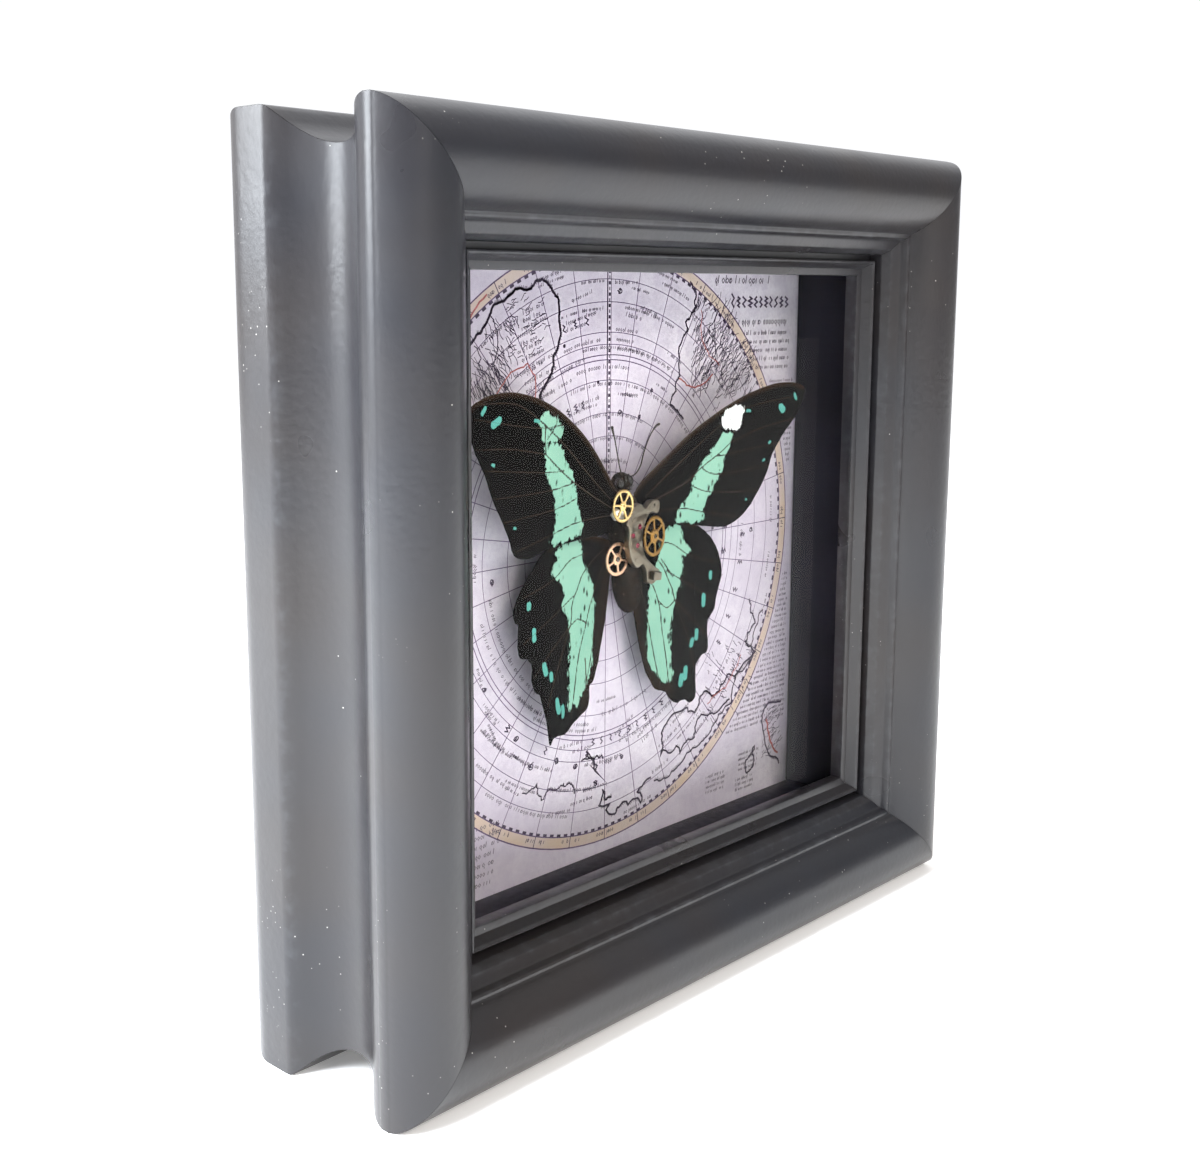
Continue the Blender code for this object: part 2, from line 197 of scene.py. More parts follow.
def buildStudio(s):
    shape = bmesh.new()
    bmesh.ops.create_grid(shape, x_segments=2, y_segments=2, size=3.0)
    floorMaterial, tree, shader = newMaterial("floorPaper")
    tone = mixColor(tree, ramp(tree, noise(tree, objectCoords(tree), 6.0), 0.3, 0.7), s["floorTone"],
                    tuple(0.985 * c for c in s["floorTone"]))
    tree.links.new(tone, shader.inputs["Base Color"])
    shader.inputs["Roughness"].default_value = 0.9
    shader.inputs["Emission Color"].default_value = (1.0, 1.0, 1.0, 1.0)
    shader.inputs["Emission Strength"].default_value = s["floorGlow"]
    floor = bpy.data.objects.new("floor", meshFrom("floor", shape))
    floor.data.materials.append(floorMaterial)
    bpy.context.scene.collection.objects.link(floor)
    world = bpy.data.worlds.new("studio")
    world.use_nodes = True
    tree = world.node_tree
    sky = tree.nodes["Background"]
    # a white backdrop behind, soft light from above and a darker room in front
    way = addNode(tree, "SeparateXYZ", {"Vector": addNode(tree, "TexCoord").outputs["Generated"]}).outputs
    level = calc(tree, "ADD", ramp(tree, way["Y"], -0.1, 0.3, s["roomLevel"], s["backdropLevel"]),
                 ramp(tree, way["Z"], 0.3, 0.8, 0.0, s["overheadLevel"]))
    sky.inputs["Color"].default_value = (*s["worldTone"], 1.0)
    tree.links.new(level, sky.inputs["Strength"])
    bpy.context.scene.world = world
    target = Vector((0.0, 0.0, 0.075))
    for name, spot, size, power, color in s["lamps"]:
        lamp = bpy.data.lights.new(name, "AREA")
        lamp.shape = "SQUARE"
        lamp.size = size
        lamp.energy = power
        lamp.color = color
        holder = bpy.data.objects.new(name, lamp)
        bpy.context.scene.collection.objects.link(holder)
        holder.location = spot
        holder.rotation_euler = (target - Vector(spot)).to_track_quat("-Z", "Y").to_euler()


bpy.context.scene.view_settings.view_transform = "Standard"
buildCamera(camera)
buildStudio(studio)
print("stage set")


# moulding

# the third paint tone is the lighter bluish paint of the ridges: worn paint and also a painted highlight for
# the reflections along the edges
moulding = {"paint": (0.0195, 0.0165, 0.0165), "coolPaint": (0.015, 0.0155, 0.0195),
        "wornAndSheen": (0.085, 0.09, 0.10), "dust": (0.62, 0.60, 0.56), "roughness": 0.30, "orangePeel": 0.10,
        "mitreClearance": 0.04}


def mouldingProfile():
    # inset from the outer face, depth, and how much lighter paint the point gets, partly wear and partly a
    # painted highlight along the ridges; once round the section, in mm
    bead = [(r, d, 0.0) for r, d in arcPoints(7.2, 7.2, 7.2, 124, 172, 14)]
    bead += [(0.0, 8.0, 0.1), (0.0, 6.4, 0.1)]
    bead += [(r, d, 0.0) for r, d in arcPoints(7.2, 7.2, 7.2, 188, 270, 22)]
    bull = [(r, d, 0.0) for r, d in arcPoints(7.2, 8.6, 8.6, 274, 336.0, 18)]
    bull += [(15.12, 5.14, 0.5)]
    small = [(15.45, 5.12, 1.0), (15.78, 5.22, 1.0), (15.95, 5.45, 0.6), (16.2, 6.35, 0.0),
            (16.32, 6.6, 0.0)]
    small += [(16.7, 6.85, 0.2), (17.4, 7.2, 0.1), (17.95, 7.5, 0.6), (18.12, 7.62, 1.0),
            (18.25, 7.82, 0.5)]
    small += [(18.9, 8.95, 0.4), (19.0, 9.15, 0.9), (19.06, 9.4, 0.3), (19.08, 11.9, 0.0),
            (20.28, 12.0, 0.0)]
    small += [(20.3, 10.1, 0.3), (20.38, 9.85, 0.9), (20.6, 9.8, 0.8), (20.86, 9.95, 0.7),
            (21.05, 10.25, 0.1)]
    small += [(21.72, 11.7, 0.0), (21.86, 11.92, 0.1), (22.9, 12.08, 0.2), (23.12, 12.16, 1.0),
            (23.2, 12.38, 0.8)]
    small += [(23.2, 14.6, 0.4), (23.15, 14.7, 0.0), (15.4, 14.7, 0.0), (15.4, 42.9, 0.0),
            (15.3, 43.0, 0.3)]
    corner = [(r, d, 0.0) for r, d in arcPoints(6.2, 36.8, 6.2, 90, 176, 16)]
    strip = [(0.0, 36.4, 0.1), (0.0, 31.6, 0.1)]
    shoulder = [(0.06, 30.95, 0.3), (0.32, 30.25, 0.7), (0.85, 29.65, 0.4)]
    cove = [(r, d, 0.0) for r, d in arcPoints(-5.8, 20.2, 11.4, 49, -36.5, 26)]
    return bead + bull + small + corner + strip + shoulder + cove


def paintMaterial(m):
    material, tree, shader = newMaterial("charcoalPaint")
    coords = objectCoords(tree)
    broad = ramp(tree, noise(tree, coords, 26.0, 2.0), 0.35, 0.65)
    tone = mixColor(tree, broad, m["paint"], m["coolPaint"])
    # lighter bluish paint mottled along the ridges: partly worn paint, partly a painted highlight that stands
    # in for the reflections along the profile's edges
    wearAndSheenNoise = ramp(tree, noise(tree, coords, 420.0, 2.0), 0.46, 0.72)
    wearAndSheen = calc(tree, "MULTIPLY", attribute(tree, "ridgeWearAndSheen"), calc(tree, "MULTIPLY", wearAndSheenNoise, 0.30))
    tone = mixColor(tree, wearAndSheen, tone, m["wornAndSheen"])
    fine = specks(tree, coords, 1200.0, 0.17, 0.10)
    coarse = specks(tree, coords, 330.0, 0.05, 0.08)
    patch = ramp(tree, noise(tree, coords, 34.0, 2.0), 0.52, 0.66)
    dust = calc(tree, "MAXIMUM", calc(tree, "MULTIPLY", fine, patch), coarse)
    tone = mixColor(tree, calc(tree, "MULTIPLY", dust, 0.75), tone, m["dust"])
    tree.links.new(tone, shader.inputs["Base Color"])
    rough = ramp(tree, noise(tree, coords, 60.0, 2.0), 0.3, 0.7, m["roughness"] - 0.03,
            m["roughness"] + 0.04)
    tree.links.new(rough, shader.inputs["Roughness"])
    peel = noise(tree, coords, 900.0, 2.0, 0.4)
    bump(tree, shader, peel, m["orangePeel"], 0.00035)
    shader.inputs["IOR"].default_value = 1.5
    return material


def buildRail(name, turn, m, material):
    section = mouldingProfile()
    count = len(section)
    shape = bmesh.new()
    ridgeWearAndSheen = shape.verts.layers.float.new("ridgeWearAndSheen")
    ring = []
    # each point's share of the lighter ridge paint, which is wear and painted highlight together
    for inset, depth, wornAndSheen in section:
        knot = shape.verts.new((-1.0, yAt(depth), (inset - halfSide) * mm))
        knot[ridgeWearAndSheen] = wornAndSheen
        ring.append(knot)
    for index in range(count):
        shape.edges.new((ring[index], ring[(index + 1) % count]))
    stretches = 24
    loop = list(shape.edges)
    firstLoop = list(loop)
    for step in range(stretches):
        grown = bmesh.ops.extrude_edge_only(shape, edges=loop)["geom"]
        moved = [item for item in grown if isinstance(item, bmesh.types.BMVert)]
        bmesh.ops.translate(shape, verts=moved, vec=(2.0 / stretches, 0.0, 0.0))
        loop = [item for item in grown if isinstance(item, bmesh.types.BMEdge) and
                all(abs(v.co.x - (-1.0 + 2.0 * (step + 1) / stretches)) < 1e-6 for v in item.verts)]
    bmesh.ops.contextual_create(shape, geom=firstLoop)
    bmesh.ops.contextual_create(shape, geom=loop)
    wobble = random.Random(len(name))
    phase = wobble.uniform(0, 6)
    for knot in shape.verts:
        inset = knot.co.z / mm + halfSide
        reach = halfSide - inset - m["mitreClearance"]
        along = knot.co.x
        # hand-painted wood is never quite straight
        knot.co.y += 0.00003 * math.sin(5.0 * along + phase) * (1 - along * along)
        knot.co.x = along * reach * mm
    bmesh.ops.rotate(shape, cent=(0, 0, 0), matrix=Matrix.Rotation(turn, 3, "Y"), verts=shape.verts)
    bmesh.ops.translate(shape, verts=shape.verts, vec=(0.0, 0.0, halfSide * mm))
    return finishPiece(name + "_moulding", meshFrom(name, shape, sharpAngle=38), material, [name])


paint = paintMaterial(moulding)
for quarter, railName in enumerate(("bottom_rail", "left_stile", "top_rail", "right_stile")):
    buildRail(railName, quarter * math.pi / 2, moulding, paint)
print("moulding done")


# glass, black lining, print and backing

inner = {"glassInset": 15.7, "glass": (15.0, 17.0), "lining": (17.3, 30.9), "liningThickness": 1.5,
         "paper": (31.2, 31.5), "backing": (31.8, 34.8),
         "liningTone": (0.008, 0.008, 0.013), "boardTone": (0.25, 0.205, 0.155),
         "glassTint": (0.985, 0.995, 0.99), "glassIor": 1.1}


def slab(x0, x1, d0, d1, z0, z1, bevelWidth=0.0, cuts=0):
    shape = bmesh.new()
    bmesh.ops.create_cube(shape, size=1.0)
    bmesh.ops.scale(shape, vec=((x1 - x0) * mm, (d1 - d0) * mm, (z1 - z0) * mm), verts=shape.verts)
    bmesh.ops.translate(shape, verts=shape.verts, vec=((x0 + x1) / 2 * mm, yAt((d0 + d1) / 2),
            (z0 + z1) / 2 * mm))
    if bevelWidth:
        bmesh.ops.bevel(shape, geom=list(shape.edges), offset=bevelWidth * mm, segments=2, profile=0.5,
                        affect="EDGES", material=-1)
    if cuts:
        bmesh.ops.subdivide_edges(shape, edges=[e for e in shape.edges if e.calc_length() > 0.02],
                cuts=cuts, use_grid_fill=True)
    return shape


def glassMaterial(n):
    material, _, shader = newMaterial("clearGlass")
    shader.inputs["Base Color"].default_value = (*n["glassTint"], 1.0)
    shader.inputs["Transmission Weight"].default_value = 1.0
    shader.inputs["IOR"].default_value = n["glassIor"]
    shader.inputs["Roughness"].default_value = 0.0
    return material


def liningMaterial(n):
    material, tree, shader = newMaterial("blackLining")
    coords = objectCoords(tree)
    fibre = noise(tree, coords, 700.0, 4.0)
    cloudy = ramp(tree, noise(tree, coords, 45.0, 2.0), 0.3, 0.7)
    tone = mixColor(tree, cloudy, n["liningTone"], tuple(1.8 * c for c in n["liningTone"]))
    lint = specks(tree, coords, 420.0, 0.07, 0.06)
    tree.links.new(mixColor(tree, calc(tree, "MULTIPLY", lint, 0.4), tone,
            (0.3, 0.3, 0.32)), shader.inputs["Base Color"])
    tree.links.new(ramp(tree, fibre, 0.3, 0.7, 0.34, 0.5), shader.inputs["Roughness"])
    bump(tree, shader, fibre, 0.05, 0.0001)
    shader.inputs["Specular IOR Level"].default_value = 0.16
    return material


def boardMaterial(n):
    material, tree, shader = newMaterial("greyBoard")
    coords = objectCoords(tree)
    stretched = addNode(tree, "Mapping", {"Vector": coords, "Scale": (1.0, 1.0, 7.0)}).outputs["Vector"]
    fibre = noise(tree, stretched, 260.0, 5.0)
    tone = mixColor(tree, ramp(tree, fibre, 0.35, 0.65), n["boardTone"],
            tuple(0.78 * c for c in n["boardTone"]))
    fleck = specks(tree, coords, 330.0, 0.2, 0.2)
    tone = mixColor(tree, calc(tree, "MULTIPLY", fleck, 0.5), tone, (0.16, 0.12, 0.08))
    tree.links.new(tone, shader.inputs["Base Color"])
    shader.inputs["Roughness"].default_value = 0.88
    bump(tree, shader, fibre, 0.35, 0.0003)
    return material


def steelMaterial():
    material, tree, shader = newMaterial("pointSteel")
    coords = objectCoords(tree)
    grain = noise(tree, coords, 900.0, 4.0)
    tree.links.new(mixColor(tree, ramp(tree, grain, 0.3, 0.7), (0.55, 0.55, 0.56), (0.36, 0.36, 0.37)),
                   shader.inputs["Base Color"])
    shader.inputs["Metallic"].default_value = 1.0
    tree.links.new(ramp(tree, grain, 0.3, 0.7, 0.28, 0.45), shader.inputs["Roughness"])
    bump(tree, shader, grain, 0.2, 0.0001)
    return material


def buildInner(n):
    edge = halfSide - n["glassInset"]
    low, high = n["glassInset"], 2 * halfSide - n["glassInset"]
    shape = slab(-edge, edge, *n["glass"], low, high, 0.25)
    finishPiece("glass_sheet", meshFrom("glass", shape), glassMaterial(n), ["glass_pane"],
            smooth=False)
    lining = liningMaterial(n)
    wall = n["liningThickness"]
    spans = {"top": (-edge, edge, high - wall, high), "bottom": (-edge, edge, low, low + wall),
             "left": (-edge, -edge + wall, low + wall + 0.05, high - wall - 0.05),
             "right": (edge - wall, edge, low + wall + 0.05, high - wall - 0.05)}
    for side, (x0, x1, z0, z1) in spans.items():
        shape = slab(x0, x1, *n["lining"], z0, z1, 0.12)
        finishPiece(side + "_lining", meshFrom(side, shape), lining, [side + "_spacer"],
                smooth=False)
    shape = slab(-edge, edge, *n["backing"], low, high, 0.3)
    finishPiece("backing_sheet", meshFrom("backing", shape), boardMaterial(n), ["backing_board"],
            smooth=False)
    steel = steelMaterial()
    for quarter, side in enumerate(("bottom", "left", "top", "right")):
        shape = bmesh.new()
        bmesh.ops.create_circle(shape, cap_ends=True, segments=3, radius=4.6 * mm)
        bmesh.ops.bevel(shape, geom=list(shape.verts), offset=0.6 * mm, segments=3, profile=0.5,
                affect="VERTICES")
        lifted = bmesh.ops.extrude_face_region(shape, geom=list(shape.faces))["geom"]
        bmesh.ops.translate(shape, verts=[v for v in lifted if isinstance(v, bmesh.types.BMVert)],
                vec=(0, 0, 0.6 * mm))
        turn = Matrix.Rotation(quarter * math.pi / 2, 4, "Y") @ Matrix.Translation((0, 0,
                (n["glassInset"] + 2.4 - halfSide) * mm)) @ Matrix.Rotation(math.pi / 2, 4, "X")
        bmesh.ops.transform(shape, matrix=turn, verts=shape.verts)
        bmesh.ops.translate(shape, verts=shape.verts, vec=(0, yAt(35.7), halfSide * mm))
        finishPiece(side + "_framer_point", meshFrom(side, shape, sharpAngle=30), steel, [side + "_point"])


buildInner(inner)
print("inner sheets done")


# printed chart

chart = {"paper": (0.66, 0.60, 0.70), "stain": (0.50, 0.43, 0.56), "light": (0.80, 0.76, 0.82),
        "ring": (0.68, 0.52, 0.37), "ringRadii": (54.4, 56.6), "ink": (0.045, 0.026, 0.062),
        "inkWeight": 1.55, "redInk": (0.36, 0.10, 0.10), "parallels": (8.0, 14.5, 21.2, 25.5, 31.5, 38.0,
        40.2, 45.7, 49.8), "boldParallels": (35.2, 36.1), "meridianStep": 10, "letterHeight": 0.85}


def paperMaterial(c):
    material, tree, shader = newMaterial("printPaper")
    coords = objectCoords(tree)
    cloudy = ramp(tree, noise(tree, coords, 22.0, 4.0), 0.35, 0.68)
    tone = mixColor(tree, cloudy, c["paper"], c["light"])
    mottled = ramp(tree, noise(tree, coords, 210.0, 5.0, 0.7), 0.42, 0.75)
    tone = mixColor(tree, calc(tree, "MULTIPLY", mottled, 0.55), tone, c["stain"])
    grain = noise(tree, coords, 1500.0, 3.0, 0.7)
    tone = mixColor(tree, ramp(tree, grain, 0.45, 0.75, 0.0, 0.35), tone, c["stain"])
    middle = addNode(tree, "CombineXYZ", {"X": mapCenter[0] * mm, "Y": yAt(inner["paper"][0]),
                                               "Z": mapCenter[1] * mm}).outputs[0]
    away = addNode(tree, "VectorMath", {0: coords, 1: middle}, operation="DISTANCE").outputs["Value"]
    low, high = (radius * mm for radius in c["ringRadii"])
    inside = calc(tree, "MULTIPLY", ramp(tree, away, low - 0.0001, low),
            ramp(tree, away, high, high - 0.0001))
    wash = ramp(tree, noise(tree, coords, 160.0, 3.0), 0.25, 0.75, 0.45, 0.9)
    tone = mixColor(tree, calc(tree, "MULTIPLY", inside, wash), tone, c["ring"])
    tree.links.new(tone, shader.inputs["Base Color"])
    tree.links.new(ramp(tree, grain, 0.3, 0.7, 0.55, 0.75), shader.inputs["Roughness"])
    bump(tree, shader, grain, 0.10, 0.00008)
    return material


def inkMaterial(name, color):
    material, tree, shader = newMaterial(name)
    coords = objectCoords(tree)
    patchy = ramp(tree, noise(tree, coords, 1300.0, 3.0, 0.7), 0.4, 0.75)
    tree.links.new(mixColor(tree, patchy, color, tuple(min(1.0, 1.8 * x + 0.03) for x in color)),
                   shader.inputs["Base Color"])
    tree.links.new(ramp(tree, patchy, 0.0, 1.0, 0.55, 0.75), shader.inputs["Roughness"])
    return material


def polar(radius, degrees):
    return (radius * math.cos(math.radians(degrees)), radius * math.sin(math.radians(degrees)))


def ringLine(strokes, radius, width, start=0.0, stop=360.0, step=3.0):
    count = max(2, int(abs(stop - start) / step))
    strokes.append(([polar(radius, start + (stop - start) * i / count) for i in range(count + 1)], width))


def letter(strokes, x, y, angle, height, width):
    # an upright, a bowl or a bar, so that it reads as printing but spells nothing
    lean = 0.18 * height
    ca, sa = math.cos(angle), math.sin(angle)

    def spot(px, py):
        px += lean * py / height
        return (x + px * ca - py * sa, y + px * sa + py * ca)
    kind = rng.random()
    wide = height * rng.uniform(0.35, 0.6)
    if kind < 0.45:
        strokes.append(([spot(0, 0), spot(0, height * rng.choice((0.62, 0.66, 1.0)))], width))
    if kind > 0.30:
        mid = height * 0.33
        strokes.append(([spot(0, mid), spot(wide * 0.5, mid * 1.9), spot(wide, mid), spot(wide * 0.5, 0.0),
                         spot(0, mid)], width * 0.8))
    if kind > 0.85:
        strokes.append(([spot(wide, 0), spot(wide, -height * 0.35)], width * 0.8))
    return wide + 0.22 * height


def writing(strokes, x, y, angle, length, height, width=0.075):
    # words of small letters along a straight line
    gone = 0.0
    while gone < length:
        for _ in range(rng.randint(3, 9)):
            if gone >= length:
                break
            gone += letter(strokes, x + gone * math.cos(angle), y + gone * math.sin(angle), angle, height,
                    width)
        gone += height * 0.55


def arcWriting(strokes, radius, start, stop, height, spacing=0.0, width=0.075):
    # the same along a circle, reading clockwise over the top or anticlockwise underneath
    turn = -1 if stop < start else 1
    degrees = start
    while (stop - degrees) * turn > 0:
        x, y = polar(radius, degrees)
        heading = math.radians(degrees) + turn * math.pi / 2
        step = letter(strokes, x, y, heading, height, width) + spacing
        if rng.random() < 0.16:
            step += height * 0.7
        degrees += turn * math.degrees(step / radius)


def capital(strokes, x, y, angle, height, width):
    ca, sa = math.cos(angle), math.sin(angle)

    def spot(px, py):
        return (x + px * ca - py * sa, y + px * sa + py * ca)
    # an unreadable squiggle stands for each sign
    wide = height * rng.uniform(0.4, 0.62)
    turns = rng.choice((3, 4, 5))
    lean = rng.choice((-1, 1))
    strokes.append(([spot(wide * (0.5 + 0.5 * lean * (-1) ** k * rng.uniform(0.5, 1.0)), height * k / turns)
                     for k in range(turns + 1)], width * 1.3))
    return wide + 0.3 * height


def crinkle(points, depth, amount):
    # splits each stretch and shifts its middle, again and again, like a surveyed shore
    for _ in range(depth):
        grown = [points[0]]
        for a, b in zip(points, points[1:]):
            away = math.hypot(b[0] - a[0], b[1] - a[1])
            shift = rng.gauss(0.0, amount) * away
            grown.append(((a[0] + b[0]) / 2 - (b[1] - a[1]) / away * shift,
                          (a[1] + b[1]) / 2 + (b[0] - a[0]) / away * shift))
            grown.append(b)
        points = grown
    return points


def shore(strokes, corners, seaSide, depth=4, amount=0.13, width=0.16, hatch=0.9):
    line = crinkle(corners, depth, amount)
    strokes.append((line, width))
    strokes.append(([(x + rng.gauss(0, 0.05), y + rng.gauss(0, 0.05)) for x, y in line], width * 0.7))
    for a, b in zip(line, line[1:]):
        away = math.hypot(b[0] - a[0], b[1] - a[1])
        if away < 1e-6:
            continue
        for share in (0.2, 0.7):
            x, y = a[0] + (b[0] - a[0]) * share, a[1] + (b[1] - a[1]) * share
            reach = seaSide * hatch * rng.uniform(0.35, 1.0)
            strokes.append(([(x, y), (x - (b[1] - a[1]) / away * reach * 0.3 + 0.25 * reach * seaSide,
                                      y + (b[0] - a[0]) / away * reach)], 0.07))
    return line


def hills(strokes, x0, x1, y0, y1, count, angle, length):
    for _ in range(int(count * 1.9)):
        x, y = rng.uniform(x0, x1), rng.uniform(y0, y1)
        a = angle + rng.gauss(0, 0.22)
        reach = length * rng.uniform(0.4, 1.2)
        strokes.append((crinkle([(x, y), (x + reach * math.cos(a), y + reach * math.sin(a))], 2, 0.12),
                0.085))


def island(strokes, x, y, size):
    ring = [(x + size * rng.uniform(0.6, 1.2) * math.cos(t), y + size * rng.uniform(0.6, 1.2) * math.sin(t))
            for t in np.linspace(0, 2 * math.pi, 9)[:-1]]
    strokes.append((ring + ring[:1], 0.14))
    for _ in range(6):
        strokes.append(([(x + rng.gauss(0, size * 0.4), y + rng.gauss(0, size * 0.4)),
                         (x + rng.gauss(0, size * 0.5), y + rng.gauss(0, size * 0.5))], 0.13))


def strokeMesh(name, strokes, material, lift):
    # every stroke is a flat ribbon of its own width, clipped to the sheet
    curve = bpy.data.curves.new(name, "CURVE")
    curve.dimensions = "2D"
    curve.fill_mode = "NONE"
    nib = bpy.data.curves.new(name + "Nib", "CURVE")
    nib.dimensions = "2D"
    tip = nib.splines.new("POLY")
    tip.points.add(1)
    tip.points[0].co = (-0.5, 0.0, 0.0, 1.0)
    tip.points[1].co = (0.5, 0.0, 0.0, 1.0)
    nibHolder = bpy.data.objects.new(name + "Nib", nib)
    bpy.context.scene.collection.objects.link(nibHolder)
    curve.bevel_mode = "OBJECT"
    curve.bevel_object = nibHolder
    limit = halfSide - inner["glassInset"] - inner["liningThickness"]
    for points, width in strokes:
        if any(abs(x + mapCenter[0]) > limit or abs(y + mapCenter[1] - halfSide) > limit for x,
                y in points):
            continue
        spline = curve.splines.new("POLY")
        spline.points.add(len(points) - 1)
        flat = []
        for x, y in points:
            flat += [x * mm, y * mm, 0.0, 1.0]
        spline.points.foreach_set("co", flat)
        spline.points.foreach_set("radius", [width * chart["inkWeight"] * mm] * len(points))
    holder = bpy.data.objects.new(name, curve)
    bpy.context.scene.collection.objects.link(holder)
    bpy.context.view_layer.update()
    mesh = bpy.data.meshes.new_from_object(holder.evaluated_get(bpy.context.evaluated_depsgraph_get()))
    bpy.data.objects.remove(holder, do_unlink=True)
    bpy.data.objects.remove(nibHolder, do_unlink=True)
    mesh.transform(Matrix.Rotation(math.pi / 2, 4, "X"))
    mesh.transform(Matrix.Translation((mapCenter[0] * mm, yAt(inner["paper"][0]) - lift,
            mapCenter[1] * mm)))
    shape = bmesh.new()
    shape.from_mesh(mesh)
    if sum(face.normal.y for face in shape.faces) > 0:
        bmesh.ops.reverse_faces(shape, faces=shape.faces)
    shape.to_mesh(mesh)
    shape.free()
    mesh.name = name
    piece = finishPiece(name, mesh, material, (), smooth=False)
    print(name, "has", len(mesh.polygons), "faces")
    return piece


def buildChart(c):
    edge = halfSide - inner["glassInset"]
    shape = slab(-edge, edge, *inner["paper"], inner["glassInset"], 2 * halfSide - inner["glassInset"],
            0.03, 6)
    finishPiece("chart_sheet", meshFrom("chart", shape), paperMaterial(c), ["map_print"],
            smooth=False)
    ink = inkMaterial("chartInk", c["ink"])
    faint = inkMaterial("faintInk", tuple(2.2 * x for x in c["ink"]))
    redInk = inkMaterial("redInk", c["redInk"])

    grid = []
    low, high = c["ringRadii"]
    ringLine(grid, high, 0.17)
    ringLine(grid, low, 0.15)
    for radius in c["parallels"]:
        ringLine(grid, radius, 0.085)
    for radius in c["boldParallels"]:
        ringLine(grid, radius, 0.12)
    for degrees in range(0, 360, c["meridianStep"]):
        if degrees != 90:
            start = 3.0 if degrees % 30 == 0 else 8.0
            grid.append(([polar(start + (low - start) * i / 8, degrees) for i in range(9)], 0.10))
    strokeMesh("chart_graticule", grid, faint, 0.00001)

    scale = []
    for index in range(360):
        if index % 2 == 0:
            ringLine(scale, low - 0.35, 0.32, index, index + 1.05, 1.0)
    for degrees in range(0, 360, c["meridianStep"]):
        scale.append(([polar(low, degrees), polar(high, degrees)], 0.12))
        arcWriting(scale, low + 0.6, degrees - 0.4, degrees - 2.4, 0.9, 0.0, 0.09)
        arcWriting(scale, low + 0.6, degrees + 2.6, degrees + 0.8, 0.9, 0.0, 0.09)
    scale.append(([(0.0, 3.0), (0.0, low)], 0.20))
    scale.append(([(0.95, 8.0), (0.95, low)], 0.10))
    for index in range(44):
        y = 9.0 + index * 1.02
        scale.append(([(0.55, y), (0.55, y + 0.62)], 0.34 if index % 2 else 0.16))
    strokeMesh("chart_scale", scale, ink, 0.00002)

    land = []
    # northern west: a broad headland with rivers and hills
    shore(land, [(-36.0, 30.0), (-33.0, 39.5), (-28.5, 45.2), (-22.5, 48.0), (-17.0, 49.6), (-13.0, 46.5),
            (-12.6, 39.0), (-14.4, 33.5), (-17.5, 29.5), (-16.0, 24.0)], 1, 4, 0.10, 0.30, 0.8)
    shore(land, [(-29.5, 43.8), (-27.5, 39.0), (-28.2, 34.0), (-24.0, 28.0)], 1, 3, 0.10, 0.12, 0.25)
    shore(land, [(-33.0, 38.5), (-30.2, 33.0), (-31.5, 27.5)], 1, 3, 0.13, 0.12, 0.3)
    hills(land, -34, -27, 24, 37, 46, -1.05, 4.6)
    hills(land, -31, -24, 30, 44, 34, -0.9, 3.2)
    hills(land, -26, -16, 36, 46, 26, 0.35, 1.6)
    for index in range(13):
        y = 43.5 - index * 1.35
        writing(land, -24.0 + rng.uniform(0, 3.5), y, 0.32, rng.uniform(3.5, 8.5), 0.85)
    # northern east: a long ridge country
    shore(land, [(23.5, 49.5), (25.5, 44.8), (22.3, 41.8), (20.4, 37.0), (20.8, 31.5), (18.0, 26.0),
            (22.0, 23.0)], -1, 4, 0.13, 0.22, 0.8)
    shore(land, [(31.5, 45.5), (29.5, 40.0), (31.5, 34.0), (27.0, 27.0)], -1, 3, 0.14, 0.12, 0.3)
    hills(land, 24, 36, 27, 45, 80, 0.95, 4.2)
    hills(land, 34, 43, 26, 36, 46, 0.75, 3.6)
    hills(land, 30, 47, 16, 27, 30, 0.6, 2.4)
    for index in range(9):
        writing(land, 24.5 + rng.uniform(0, 2), 44.0 - index * 2.1, 0.45, rng.uniform(3, 7), 0.8)
    # lower east: broken islands and a strait
    shore(land, [(44.5, -16.0), (46.8, -21.5), (43.5, -25.0), (47.0, -27.8), (42.0, -30.5), (37.5, -31.0),
            (33.5, -34.6), (29.8, -33.2), (27.0, -37.0), (22.0, -35.8), (17.0, -38.5), (16.5, -43.5),
            (22.5, -44.5), (27.0, -42.2), (28.5, -38.4), (34.0, -38.5),
            (38.5, -36.5)], 1, 3, 0.16, 0.24, 0.75)
    shore(land, [(49.5, -19.0), (46.0, -29.0), (39.0, -37.5), (31.0, -43.0), (22.5, -47.0),
            (14.5, -48.5)], -1, 4, 0.12, 0.2, 0.8)
    hills(land, 30, 46, -40, -24, 44, -0.7, 1.8)
    shore(land, [(13.5, -47.5), (9.5, -49.5), (10.5, -52.0), (5.5, -50.5), (3.0, -52.3), (-1.5, -49.5),
            (-0.5, -46.8), (2.0, -48.6)], 1, 3, 0.18, 0.26, 0.7)
